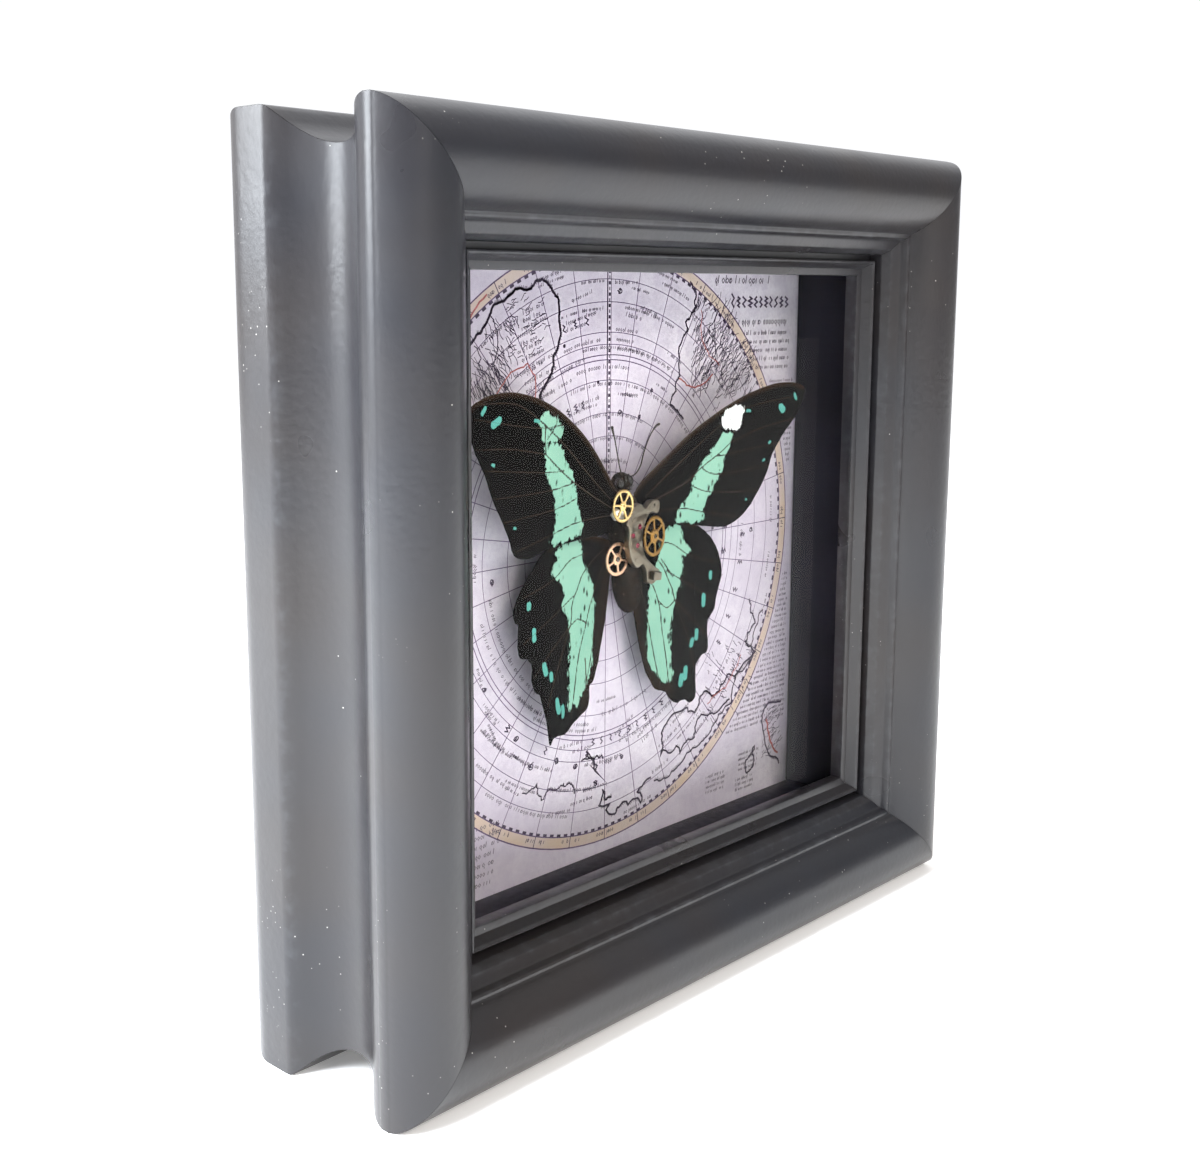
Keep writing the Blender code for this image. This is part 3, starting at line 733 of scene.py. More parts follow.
    # lower west and south: small shores
    shore(land, [(-22.0, -42.0), (-16.5, -44.5), (-12.0, -43.0), (-8.5, -45.5)], 1, 4, 0.2, 0.14, 0.5)
    shore(land, [(-6.5, -39.5), (-2.0, -43.0), (-4.8, -38.2), (-0.5, -40.5)], 1, 3, 0.2, 0.2, 0.6)
    for x, y, size in ((-2.6, -44.8, 0.55), (3.6, 25.4, 0.45), (3.4, 47.6, 0.5), (-11.4, 52.0, 0.6),
            (-20.0, -37.5, 0.6), (-23.5, -31.5, 0.55), (-11.3, 38.0, 0.3), (-2.4, 31.2, 0.32),
            (9.0, 24.2, 0.4), (31.0, 8.0, 0.5), (36.5, 9.5, 0.45), (35.2, -4.8, 0.35), (30.2, -14.5, 0.6),
            (28.6, -16.0, 0.4), (31.8, 0.5, 0.3), (-13.2, -38.0, 0.6), (-8.2, -40.2, 0.5),
            (-29.2, -2.2, 0.55), (4.8, -41.2, 0.45), (12.5, 29.0, 0.35), (-31.2, -21.0, 0.45),
            (44.0, 4.5, 0.6), (44.6, -1.2, 0.5)):
        island(land, x, y, size)
    strokeMesh("chart_land", land, ink, 0.00003)

    words = []
    for radius, start, stop in ((20.6, 128, 60), (24.9, 112, 66), (30.6, 108, 40), (37.2, 100, 62),
            (36.9, 86, 60), (44.6, 84, 66), (33.6, 104, 80), (27.0, 118, 96), (30.5, 190, 232),
            (33.4, 196, 262), (31.8, 268, 292), (34.6, 236, 266), (41.6, 196, 214), (42.4, 222, 250),
            (41.2, 262, 276), (47.8, 214, 236), (50.8, 232, 258), (38.6, 282, 318), (33.2, 300, 330),
            (45.8, 250, 268), (17.0, 70, 100), (52.2, 112, 96), (16.2, 118, 84)):
        arcWriting(words, radius, start, stop, c["letterHeight"] * rng.uniform(0.85, 1.1))
    # scattered names and notes that follow the parallels
    for radius in (28.8, 29.8, 33.0, 38.9, 39.6, 41.1, 42.4, 44.3, 46.4, 48.4, 49.2, 51.2, 52.8):
        for _ in range(4):
            degrees = rng.uniform(0, 360)
            arcWriting(words, radius, degrees, degrees - rng.uniform(5, 11),
                    c["letterHeight"] * rng.uniform(0.7, 1.1))
    for x, y, angle, length in ((2.0, 48.9, 0.0, 6.5), (-14.0, 50.8, 0.35, 4.0), (-9.4, 45.6, 0.3, 5.5),
            (-10.8, 41.6, 0.25, 8.0), (-11.0, 40.2, 0.25, 5.0), (-11.4, 36.6, 0.3, 4.0),
            (-12.0, 33.0, 0.35, 6.0), (-12.6, 30.4, 0.35, 3.4), (-7.0, 37.8, 0.15, 5.0),
            (2.2, 40.4, -0.1, 5.6), (2.4, 38.6, -0.12, 4.6), (5.0, 43.0, -0.2, 4.2), (9.0, 44.4, -0.3, 5.0),
            (3.0, 28.6, -0.1, 5.0), (-7.6, 27.0, 0.2, 5.4), (-12.5, -36.0, 0.0, 6.5),
            (-9.0, -37.5, 0.0, 5.0), (-6.0, -45.8, 0.0, 7.0), (-9.5, -47.6, 0.0, 6.0),
            (3.0, -36.6, 0.5, 5.5), (4.2, -38.2, 0.5, 5.0), (6.2, -38.6, 0.5, 4.2), (9.5, -38.6, 0.55, 5.5),
            (11.0, -39.8, 0.55, 5.0), (-24.5, -34.5, -0.7, 5.0), (-30.5, -27.5, -1.1, 4.0),
            (-33.0, -17.0, -1.3, 4.0), (-15.5, -48.0, -0.1, 6.0), (-26.5, -40.0, -0.6, 4.5)):
        writing(words, x, y, angle, length, c["letterHeight"] * rng.uniform(0.85, 1.1))
    # wide-spaced capitals along the seas
    for radius, start, stop, count in ((41.8, 106, 98, 3), (27.2, 116, 104, 4), (39.6, 228, 262, 3),
            (37.4, 264, 296, 9), (36.5, 344, 376, 5), (41.0, 366, 326, 6), (44.6, 204, 216, 2)):
        turn = -1 if stop < start else 1
        for index in range(count):
            degrees = start + (stop - start) * index / max(1, count - 1)
            x, y = polar(radius, degrees)
            capital(words, x, y, math.radians(degrees) + turn * math.pi / 2, 1.5, 0.13)
    # lower left corner: a note in a sloping hand
    for index in range(7):
        writing(words, -58.0, -46.2 - 1.75 * index, 0.0, 30.5 - 0.4 * index, 1.05, 0.085)
    # upper right corner: a heading and its small print
    writing(words, 31.2, 49.2, 0.0, 17.5, 1.6, 0.15)
    x = 36.5
    while x < 56.0:
        x += capital(words, x, 44.4, 0.0, 2.2 if x > 38 else 2.8, 0.2)
    writing(words, 39.0, 41.0, 0.0, 16.5, 1.35, 0.12)
    for index in range(5):
        writing(words, 41.0 + index, 38.9 - 1.75 * index, 0.0, 15.0 - index, 0.95, 0.09)
    # right edge: a column of small print that follows the circle
    for index in range(66):
        y = 29.0 - 1.12 * index
        edgeX = math.sqrt(max(0.0, (high + 1.0) ** 2 - y * y))
        if edgeX < 56.4:
            writing(words, edgeX, y, 0.0, 57.6 - edgeX, 0.72, 0.075)
    for left, top, lines, length in ((42.0, -49.6, 4, 6.5), (41.0, -55.0, 3, 6.0), (31.0, -52.0, 4, 6.0)):
        for index in range(lines):
            writing(words, left, top - 1.1 * index, 0.0, length, 0.72, 0.075)
    strokeMesh("chart_words", words, ink, 0.00004)

    inset = []
    shore(inset, [(56.8, -40.5), (52.5, -40.0), (49.8, -43.5), (51.2, -48.0), (53.0, -52.0),
            (56.6, -54.5)], -1, 4, 0.12, 0.24, 0.8)
    shore(inset, [(45.5, -50.5), (47.5, -48.6), (47.2, -53.0), (44.8, -54.0),
            (45.5, -50.5)], -1, 3, 0.18, 0.2, 0.6)
    hills(inset, 50, 56, -52, -41, 34, 0.5, 1.8)
    strokeMesh("chart_inset", inset, ink, 0.00003)

    borders = []
    borders.append((crinkle([(-32.0, 24.5), (-29.0, 29.5), (-24.5, 33.8), (-20.5, 35.2), (-18.6, 33.0),
            (-18.8, 28.0)], 3, 0.06), 0.16))
    borders.append((crinkle([(-35.8, 41.0), (-30.0, 47.0)], 3, 0.05), 0.22))
    borders.append((crinkle([(20.5, 31.0), (25.5, 29.0), (31.0, 31.5)], 3, 0.07), 0.2))
    borders.append((crinkle([(27.0, 44.0), (27.5, 38.0), (33.0, 33.0)], 3, 0.07), 0.13))
    borders.append((crinkle([(51.5, -43.5), (53.0, -48.5), (56.0, -52.0)], 3, 0.07), 0.3))
    borders.append((crinkle([(42.0, -27.5), (37.0, -33.8), (31.0, -36.0)], 3, 0.07), 0.13))
    strokeMesh("chart_borders", borders, redInk, 0.00005)


buildChart(chart)
print("chart done")


# butterfly

# pale is the near-white of a painted highlight on the right forewing: the lamp's reflection painted into the
# wing's colour
insect = {"root": (-1.6, 78.0), "gridStep": 0.36, "wingThickness": 0.12, "black": (0.0022, 0.0019, 0.0019),
        "brown": (0.040, 0.022, 0.014), "mint": (0.27, 0.50, 0.385), "mintDeep": (0.20, 0.43, 0.33),
        "teal": (0.10, 0.36, 0.31), "pale": (0.93, 0.98, 0.96), "veinTone": (0.030, 0.018, 0.012),
        "bodyTone": (0.008, 0.005, 0.0035), "hairTone": (0.026, 0.016, 0.010), "hairs": 1500}

# outlines, bands and veins are in mm from the wing's root: outwards, then up
wings = {
    "left_forewing": {"side": -1, "depth": 27.0, "lift": 6.0, "lean": 6.9, "camber": 0.45, "front": 11,
        "outline": [(2.4, 9.0), (5.6, 12.2), (10.6, 17.2), (14.7, 20.7), (18.6, 23.4), (23.1, 26.0),
            (27.9, 28.0), (32.5, 29.2), (36.3, 29.7), (40.3, 29.5), (43.0, 28.9), (45.5, 27.4), (45.7, 25.6),
            (44.7, 23.2), (42.9, 20.0), (40.5, 16.5), (38.0, 12.1), (34.9, 7.9), (33.0, 4.7), (31.6, 2.2),
            (29.7, 1.0), (26.6, 0.8), (23.5, 1.4), (20.0, 1.9), (12.3, 2.3), (5.0, 2.4),
            (2.2, 4.6)],
        "bands": [[(25.9, 19.9), (24.9, 20.3), (23.0, 20.2), (20.9, 19.3), (20.1, 17.5),
            (17.4, 14.4), (16.4, 11.8), (14.7, 8.1), (13.1, 3.4), (21.3, 2.5), (21.2, 4.7), (20.9, 6.6),
            (21.7, 9.9), (23.3, 13.1), (25.2, 16.7)], [(27.9, 24.1), (26.8, 25.6), (25.7, 25.9), (24.8, 24.9),
            (23.5, 25.0), (21.4, 23.0), (21.6, 21.8), (23.1, 20.9), (26.9, 21.3),
            (26.9, 22.9)]],
        "paintedHighlightPatches": [],
        "spots": [((41.7, 27.5), (42.4, 26.6), 0.30), ((38.3, 25.3),
            (39.3, 24.7), 0.62), ((28.0, 24.5), (29.2, 24.7), 0.24), ((38.9, 18.1), (38.4, 17.9), 0.24),
            ((31.6, 6.6), (31.9, 6.7), 0.26)],
        "veins": [([(5.0, 8.6), (12.0, 13.6), (20.0, 19.6),
            (26.2, 23.7)], 0.11), ([(4.5, 7.0), (11.0, 10.0), (17.5, 13.4), (21.8, 16.1), (25.5, 18.7)], 0.13),
            ([(26.2, 23.7), (26.0, 21.2), (25.5, 18.7)], 0.09), ([(21.4, 23.4), (28.6, 23.4),
            (44.0, 25.8)], 0.07), ([(25.4, 21.2), (23.4, 24.8), (30.5, 28.4)], 0.06), ([(26.2, 23.7),
            (34.0, 27.6), (43.4, 28.2)], 0.07), ([(25.5, 18.7), (34.0, 20.2), (43.0, 20.8)], 0.07),
            ([(20.1, 15.4), (25.0, 15.5), (40.6, 17.2)], 0.08), ([(16.6, 13.0), (23.2, 12.2),
            (37.8, 12.2)], 0.08), ([(15.5, 10.0), (21.8, 8.7), (34.6, 7.9)], 0.08), ([(4.5, 5.6), (13.7, 5.6),
            (20.6, 4.5), (31.2, 2.4)], 0.09)]},

    "right_forewing": {"side": 1, "depth": 27.0, "lift": 6.0,
        "lean": 6.9, "camber": 0.45, "front": 11,
        "outline": [(2.2, 8.8), (3.9, 11.1), (6.6, 13.2),
            (10.8, 16.6), (15.2, 19.7), (19.7, 22.2), (24.3, 24.4), (29.0, 26.2), (33.9, 27.5), (38.0, 28.2),
            (42.7, 28.1), (45.8, 27.2), (46.6, 25.9), (46.0, 23.8), (44.6, 21.4), (42.3, 19.1), (39.7, 16.0),
            (38.4, 13.7), (37.8, 10.9), (36.5, 8.1), (34.7, 5.6), (32.6, 3.1), (30.5, 1.5), (27.6, 0.4),
            (24.5, 0.5), (19.8, 1.2), (13.2, 2.4), (5.0, 2.6), (2.2, 4.8)],
        "bands": [[(26.3, 18.8),
            (26.1, 16.5), (25.4, 14.6), (24.7, 12.4), (23.6, 11.1), (22.1, 7.7), (20.2, 4.3), (20.5, 2.1),
            (13.4, 2.8), (14.0, 4.6), (14.6, 5.7), (16.0, 7.4), (16.6, 9.3), (17.6, 11.1), (18.1, 12.9),
            (19.6, 14.6), (22.0, 17.9), (24.3, 19.0)]],
        # a painted highlight: the lamp's reflection on this forewing, painted near-white into the colour
        "paintedHighlightPatches": [[(22.7, 21.6), (23.7, 23.3),
            (25.7, 24.1), (27.9, 24.4), (28.8, 23.2), (28.2, 20.5), (26.4, 19.6),
            (23.6, 20.2)]],
        "spots": [((43.2, 25.8), (44.0, 24.8), 0.26), ((39.6, 23.5), (40.3, 22.8), 0.62),
            ((29.6, 23.2), (30.5, 23.1), 0.24), ((37.1, 16.4), (37.4, 16.5), 0.26), ((35.9, 12.9),
            (36.2, 13.0), 0.26), ((32.0, 5.3), (32.3, 5.3), 0.24)],
        "veins": [([(5.0, 8.2), (12.0, 13.4),
            (20.0, 19.0), (25.0, 22.0)], 0.11), ([(4.5, 6.4), (14.6, 9.9), (18.7, 12.7), (23.7, 15.5),
            (26.0, 17.2)], 0.13), ([(25.0, 22.0), (26.4, 19.8), (26.0, 17.2)], 0.09), ([(24.0, 22.6),
            (33.0, 24.4), (44.6, 25.4)], 0.07), ([(26.0, 17.2), (34.0, 19.4), (43.6, 20.8)], 0.07),
            ([(22.0, 14.6), (26.0, 14.9), (39.6, 16.2)], 0.07), ([(19.0, 12.5), (23.6, 11.1),
            (37.9, 11.8)], 0.08), ([(16.5, 9.4), (21.9, 7.7), (35.0, 6.8)], 0.08), ([(4.5, 5.0), (14.3, 5.1),
            (19.9, 4.0), (30.0, 2.0)], 0.09)]},

    "left_hindwing": {"side": -1, "depth": 27.5, "lift": 3.0,
        "lean": -1.4, "camber": 0.25, "front": 3,
        "outline": [(3.0, 0.6), (9.0, 2.2), (15.5, 2.4),
            (20.0, 1.2), (22.7, -0.6), (25.0, -2.9), (26.8, -4.9), (28.3, -6.9), (29.1, -8.9), (28.8, -10.4),
            (27.5, -11.4), (27.9, -13.1), (28.1, -15.2), (27.6, -16.9), (25.5, -17.6), (24.5, -19.0),
            (24.7, -21.5), (23.8, -23.8), (21.9, -24.7), (21.1, -26.0), (21.2, -28.9), (20.7, -31.6),
            (20.4, -34.1), (19.1, -32.9), (16.2, -32.9), (14.1, -31.6), (12.1, -30.6), (10.0, -29.5),
            (9.3, -27.9), (9.1, -25.5), (7.8, -24.3), (6.0, -19.7), (4.2, -13.1), (3.0, -7.1),
            (2.4, -2.0)],
        "bands": [[(17.7, 0.2), (14.9, 1.7), (11.1, 1.5), (10.6, -2.0), (9.3, -4.0),
            (8.2, -6.0), (7.7, -8.5), (7.5, -11.3), (8.1, -18.1), (8.5, -20.9), (9.9, -25.0), (11.2, -26.2),
            (12.3, -27.5), (13.2, -28.9), (14.0, -27.8), (14.9, -29.1), (15.1, -26.9), (14.7, -19.8),
            (14.3, -14.8), (15.0, -13.8), (15.0, -11.7), (16.3, -9.7), (16.0, -8.3), (16.5, -5.5), (19.1, -3.2),
            (18.5, -2.0), (17.2, -1.1)]],
        "paintedHighlightPatches": [],
        "spots": [((25.2, -7.9), (25.2, -8.5), 0.52),
            ((23.9, -12.7), (24.0, -14.2), 0.50), ((21.4, -19.2), (21.1, -20.8), 0.48), ((19.8, -21.2),
            (19.7, -22.2), 0.42), ((18.2, -26.4), (17.9, -28.4), 0.48), ((16.8, -27.6),
            (16.8, -29.6), 0.36)],
        "veins": [([(4.0, -0.6), (10.0, -4.0), (13.6, -9.6), (14.4, -13.6),
            (18.2, -21.0), (20.6, -27.0)], 0.10), ([(3.6, -2.0), (7.4, -8.0), (9.9, -13.6), (12.4, -20.5),
            (14.6, -30.5)], 0.10), ([(3.4, -4.0), (6.8, -12.0), (8.8, -20.5), (11.4, -28.6)], 0.08),
            ([(9.9, -13.6), (12.2, -12.6), (14.4, -13.6)], 0.09), ([(9.0, -1.0), (14.0, -1.6), (19.0, -4.6),
            (26.6, -6.6)], 0.08), ([(12.6, -7.8), (18.0, -10.6), (26.6, -14.6)], 0.08), ([(14.4, -13.6),
            (19.0, -16.8), (24.0, -21.0)], 0.08), ([(10.4, -20.0), (10.0, -25.4)], 0.20)]},

    "right_hindwing": {"side": 1, "depth": 27.5, "lift": 3.0, "lean": -1.4, "camber": 0.25, "front": 3,
        "outline": [(3.0, 0.6), (9.0, 2.4), (15.5, 2.6), (21.1, 0.9), (24.3, -1.2), (26.7, -3.9),
            (28.0, -6.6), (28.3, -9.5), (27.6, -11.9), (26.7, -14.3), (26.1, -16.4), (24.3, -18.2),
            (23.9, -20.4), (24.3, -22.4), (23.8, -24.7), (21.3, -25.1), (20.7, -27.0), (20.5, -30.2),
            (20.5, -33.0), (18.9, -34.0), (17.2, -33.0), (15.2, -33.4), (13.2, -32.1), (12.1, -30.7),
            (9.3, -29.6), (7.8, -27.5), (6.3, -24.8), (4.8, -19.3), (3.7, -13.7), (2.9, -8.0),
            (2.4, -2.0)],
        "bands": [[(12.1, 0.9), (14.6, 1.7), (16.2, 0.8), (17.4, -1.0), (17.1, -1.8),
            (18.5, -2.8), (19.4, -3.9), (17.1, -4.7), (17.2, -6.7), (16.5, -8.6), (16.5, -10.1), (15.3, -11.2),
            (15.0, -13.9), (14.2, -15.1), (13.6, -18.5), (13.7, -22.1), (14.0, -26.3), (13.7, -28.9),
            (12.7, -28.5), (12.0, -29.0), (10.9, -28.7), (10.2, -27.6), (9.3, -26.1), (7.7, -24.7),
            (7.1, -19.7), (7.3, -14.3), (7.8, -9.6), (9.5, -5.9), (11.2, -2.1)]],
        "paintedHighlightPatches": [],
        "spots": [((25.0, -9.0), (25.0, -9.9), 0.42), ((23.1, -13.2), (22.9, -15.0), 0.48), ((21.1, -20.0),
            (20.9, -21.4), 0.48), ((19.6, -21.6), (19.3, -22.6), 0.48), ((17.8, -26.9), (17.5, -28.8), 0.50),
            ((16.4, -28.3), (16.2, -29.9), 0.46)],
        "veins": [([(4.0, -0.6), (10.0, -4.4), (13.4, -9.4),
            (14.8, -13.0), (18.4, -21.0), (20.2, -27.0)], 0.10), ([(3.6, -2.0), (7.8, -8.0), (10.2, -12.4),
            (11.6, -20.5), (13.4, -31.0)], 0.10), ([(3.4, -4.0), (6.4, -12.0), (8.4, -20.5),
            (10.6, -29.0)], 0.08), ([(10.2, -12.4), (12.6, -14.2), (14.8, -13.0)], 0.10), ([(9.0, -1.0),
            (14.0, -2.0), (19.0, -4.8), (26.6, -7.0)], 0.08), ([(12.6, -7.0), (17.2, -9.6),
            (25.6, -14.0)], 0.08), ([(14.8, -13.0), (19.0, -16.8), (23.6, -21.0)], 0.08), ([(11.2, -4.6),
            (14.2, -8.4)], 0.08)]},}


def toPolygon(points, polygon):
    # distance to the outline in mm, positive inside
    p = np.asarray(points, float)
    corners = np.asarray(polygon, float)
    nearest = np.full(len(p), 1e9)
    inside = np.zeros(len(p), bool)
    for a, b in zip(corners, np.roll(corners, -1, axis=0)):
        edge = b - a
        share = np.clip(((p - a) @ edge) / (edge @ edge), 0, 1)
        nearest = np.minimum(nearest, np.hypot(*(p - a - share[:, None] * edge).T))
        if a[1] != b[1]:
            crosses = (a[1] > p[:, 1]) != (b[1] > p[:, 1])
            reach = a[0] + (p[:, 1] - a[1]) / (b[1] - a[1]) * (b[0] - a[0])
            inside ^= crosses & (p[:, 0] < reach)
    return np.where(inside, nearest, -nearest)


def toLine(points, line):
    p = np.asarray(points, float)
    nearest = np.full(len(p), 1e9)
    for a, b in zip(line, line[1:]):
        a, b = np.asarray(a, float), np.asarray(b, float)
        edge = b - a
        share = np.clip(((p - a) @ edge) / max(edge @ edge, 1e-12), 0, 1)
        nearest = np.minimum(nearest, np.hypot(*(p - a - share[:, None] * edge).T))
    return nearest


def smoothLine(points, closed, steps=5):
    # a rounded line through the corners
    count = len(points)
    spans = count if closed else count - 1
    line = []
    for index in range(spans):
        if closed:
            p0, p1, p2, p3 = (points[(index + k) % count] for k in (-1, 0, 1, 2))
        else:
            p0, p1, p2, p3 = (points[min(max(index + k, 0), count - 1)] for k in (-1, 0, 1, 2))
        for step in range(steps):
            t = step / steps
            line.append(tuple(0.5 * (2 * p1[k] + (p2[k] - p0[k]) * t
                    + (2 * p0[k] - 5 * p1[k] + 4 * p2[k] - p3[k]) * t * t
                    + (3 * p1[k] - p0[k] - 3 * p2[k] + p3[k]) * t ** 3) for k in (0, 1)))
    if not closed:
        line.append(points[-1])
    return line


def wingPlace(w):
    lift, lean = math.radians(w["lift"]), math.radians(w["lean"])
    turn = Matrix.Rotation(-w["side"] * lift, 4, "Z") @ Matrix.Rotation(lean, 4, "X")
    return Matrix.Translation(place(insect["root"][0], w["depth"], insect["root"][1])) @ turn


def wingRise(w, u, v):
    # how far the membrane stands off its flat plane: an overall arch and shallow folds along the veins, in mm
    arch = w["camber"] * math.sin(math.pi * min(1.0, max(0.0, u / 46.0)))
    fan = math.atan2(v + (4.0 if w["lean"] < 0 else -2.0), u + 3.0)
    return arch + 0.07 * math.sin(fan * 26.0) * min(1.0, u / 12.0)


def wingMaterial(i):
    material, tree, shader = newMaterial("wingScales")
    coords = objectCoords(tree)
    drawn = addNode(tree, "Mapping", {"Vector": coords, "Scale": (1.0, 1.0, 0.45)}).outputs["Vector"]
    serrate = calc(tree, "SUBTRACT", noise(tree, drawn, 2600.0, 2.0, 0.7), 0.5)
    coarse = calc(tree, "SUBTRACT", noise(tree, drawn, 800.0, 3.0, 0.65), 0.5)
    ragged = calc(tree, "ADD", calc(tree, "MULTIPLY", serrate, 1.8), calc(tree, "MULTIPLY", coarse, 2.7))
    scaleRows = noise(tree, coords, 3600.0, 2.0, 0.8)
    broad = noise(tree, coords, 90.0, 3.0)

    def region(name, spread=0.06, wobble=1.0):
        edge = calc(tree, "ADD", attribute(tree, name), calc(tree, "MULTIPLY", ragged, wobble))
        return ramp(tree, edge, -spread, spread)
    dark = mixColor(tree, ramp(tree, broad, 0.35, 0.7), i["black"], tuple(1.9 * x for x in i["black"]))
    dark = mixColor(tree, ramp(tree, scaleRows, 0.62, 0.8, 0.0, 0.12), dark, i["brown"])
    edgeBrown = ramp(tree, attribute(tree, "costa"), 1.1, 0.1, 0.0, 0.75)
    dark = mixColor(tree, edgeBrown, dark, i["brown"])
    innerBrown = calc(tree, "MULTIPLY", ramp(tree, attribute(tree, "innerEdge"), 3.4, 0.4), 0.4)
    dark = mixColor(tree, innerBrown, dark, tuple(0.8 * x for x in i["brown"]))
    paleDots = calc(tree, "MULTIPLY", specks(tree, coords, 1500.0, 0.16, 0.10),
            ramp(tree, attribute(tree, "innerEdge"), 3.0, 1.0))
    dark = mixColor(tree, calc(tree, "MULTIPLY", paleDots, 0.7), dark, (0.30, 0.22, 0.17))
    mint = mixColor(tree, ramp(tree, broad, 0.3, 0.7), i["mintDeep"], i["mint"])
    mint = mixColor(tree, ramp(tree, scaleRows, 0.35, 0.75, 0.0, 0.35), mint, (0.36, 0.55, 0.43))
    lost = specks(tree, drawn, 900.0, 0.34, 0.5)
    lostPatch = ramp(tree, noise(tree, coords, 220.0, 3.0), 0.46, 0.56)
    mint = mixColor(tree, calc(tree, "MULTIPLY", lost, lostPatch), mint, (0.02, 0.03, 0.025))
    streak = addNode(tree, "Mapping", {"Vector": coords, "Scale": (1.0, 1.0, 0.12)}).outputs["Vector"]
    mint = mixColor(tree, ramp(tree, noise(tree, streak, 1900.0, 2.0), 0.55, 0.8, 0.0, 0.35), mint,
            (0.20, 0.45, 0.36))
    vein = calc(tree, "ADD", attribute(tree, "vein"), calc(tree, "MULTIPLY", serrate, 0.22))
    mint = mixColor(tree, ramp(tree, vein, 0.20, 0.10), mint, (0.012, 0.016, 0.014))
    dark = mixColor(tree, ramp(tree, vein, 0.24, 0.10, 0.0, 0.35), dark, (0.045, 0.028, 0.018))
    tone = mixColor(tree, region("mint"), dark, mint)
    tone = mixColor(tree, region("spot", 0.05, 0.22), tone, i["teal"])
    # painted highlight: the near-white patch stands for a reflection of the lamp on the right forewing, not a
    # marking
    tone = mixColor(tree, region("pale", 0.06, 0.9), tone, i["pale"])
    tree.links.new(tone, shader.inputs["Base Color"])
    tree.links.new(ramp(tree, scaleRows, 0.3, 0.7, 0.52, 0.72), shader.inputs["Roughness"])
    shader.inputs["Specular IOR Level"].default_value = 0.02
    shader.inputs["Sheen Weight"].default_value = 0.0
    bump(tree, shader, scaleRows, 0.2, 0.00006)
    return material


def veinMaterial(i):
    material, tree, shader = newMaterial("wingVeins")
    coords = objectCoords(tree)
    grain = noise(tree, coords, 1800.0, 3.0)
    tree.links.new(mixColor(tree, ramp(tree, grain, 0.35, 0.65), i["veinTone"],
            tuple(2.2 * x for x in i["veinTone"])), shader.inputs["Base Color"])
    tree.links.new(ramp(tree, grain, 0.3, 0.7, 0.42, 0.6), shader.inputs["Roughness"])
    bump(tree, shader, grain, 0.2, 0.00005)
    shader.inputs["Specular IOR Level"].default_value = 0.2
    return material


def membrane(name, w, i):
    outline = smoothLine(w["outline"], True, 6)
    ragged = random.Random(len(w["outline"]))
    outline = [(u + ragged.gauss(0, 0.035), v + ragged.gauss(0, 0.035)) for u, v in outline]
    shape = bmesh.new()
    knots = [shape.verts.new((u, 0.0, v)) for u, v in outline]
    shape.faces.new(knots)
    bmesh.ops.triangulate(shape, faces=shape.faces)
    us, vs = [u for u, v in outline], [v for u, v in outline]
    for low, high, normal in ((min(us), max(us), (1, 0, 0)), (min(vs), max(vs), (0, 0, 1))):
        cut = low + i["gridStep"]
        while cut < high:
            bmesh.ops.bisect_plane(shape, geom=shape.verts[:] + shape.edges[:] + shape.faces[:], dist=1e-5,
                                   plane_co=tuple(cut * n for n in normal), plane_no=normal)
            cut += i["gridStep"]
    bmesh.ops.triangulate(shape, faces=shape.faces)
    flat = [(v.co.x, v.co.z) for v in shape.verts]
    mint = np.max([toPolygon(flat, smoothLine(band, True, 3)) for band in w["bands"]], axis=0)
    # where the painted highlight goes
    pale = np.max([toPolygon(flat, smoothLine(band, True, 3)) for band in w["paintedHighlightPatches"]], axis=0) \
        if w["paintedHighlightPatches"] else np.full(len(flat), -9.0)
    spot = np.max([1.1 * radius - toLine(flat, (a, b)) for a, b, radius in w["spots"]], axis=0)
    costa = toLine(flat, outline[:w["front"] * 6])
    innerEdge = toLine(flat, outline[-8 * 6:]) if w["lean"] < 0 else np.full(len(flat), 9.0)
    vein = np.min([toLine(flat, smoothLine(line, False, 5)) for line, _ in w["veins"]], axis=0)
    fields = {"mint": mint, "vein": vein, "pale": pale, "spot": spot, "costa": costa,
            "innerEdge": innerEdge}
    for vertex in shape.verts:
        u, v = vertex.co.x, vertex.co.z
        vertex.co = (w["side"] * u * mm, -wingRise(w, u, v) * mm, v * mm)
    bmesh.ops.transform(shape, matrix=wingPlace(w), verts=shape.verts)
    mesh = bpy.data.meshes.new(name)
    shape.to_mesh(mesh)
    shape.free()
    for key, values in fields.items():
        mesh.attributes.new(key, "FLOAT", "POINT").data.foreach_set("value", values.astype(np.float32))
    return mesh


def tubeMesh(name, lines, sides=2):
    # one round cord along each line of 3-D points, with a radius at each point
    curve = bpy.data.curves.new(name, "CURVE")
    curve.dimensions = "3D"
    curve.bevel_depth = 1.0
    curve.bevel_resolution = sides - 1
    curve.use_fill_caps = True
    for points, radii in lines:
        spline = curve.splines.new("POLY")
        spline.points.add(len(points) - 1)
        for knot, point, radius in zip(spline.points, points, radii):
            knot.co = (*point, 1.0)
            knot.radius = radius
    holder = bpy.data.objects.new(name, curve)
    bpy.context.scene.collection.objects.link(holder)
    bpy.context.view_layer.update()
    mesh = bpy.data.meshes.new_from_object(holder.evaluated_get(bpy.context.evaluated_depsgraph_get()))
    bpy.data.objects.remove(holder, do_unlink=True)
    shape = bmesh.new()
    shape.from_mesh(mesh)
    bmesh.ops.remove_doubles(shape, verts=shape.verts, dist=0.0000005)
    bmesh.ops.recalc_face_normals(shape, faces=shape.faces)
    shape.to_mesh(mesh)
    shape.free()
    mesh.name = name
    return mesh


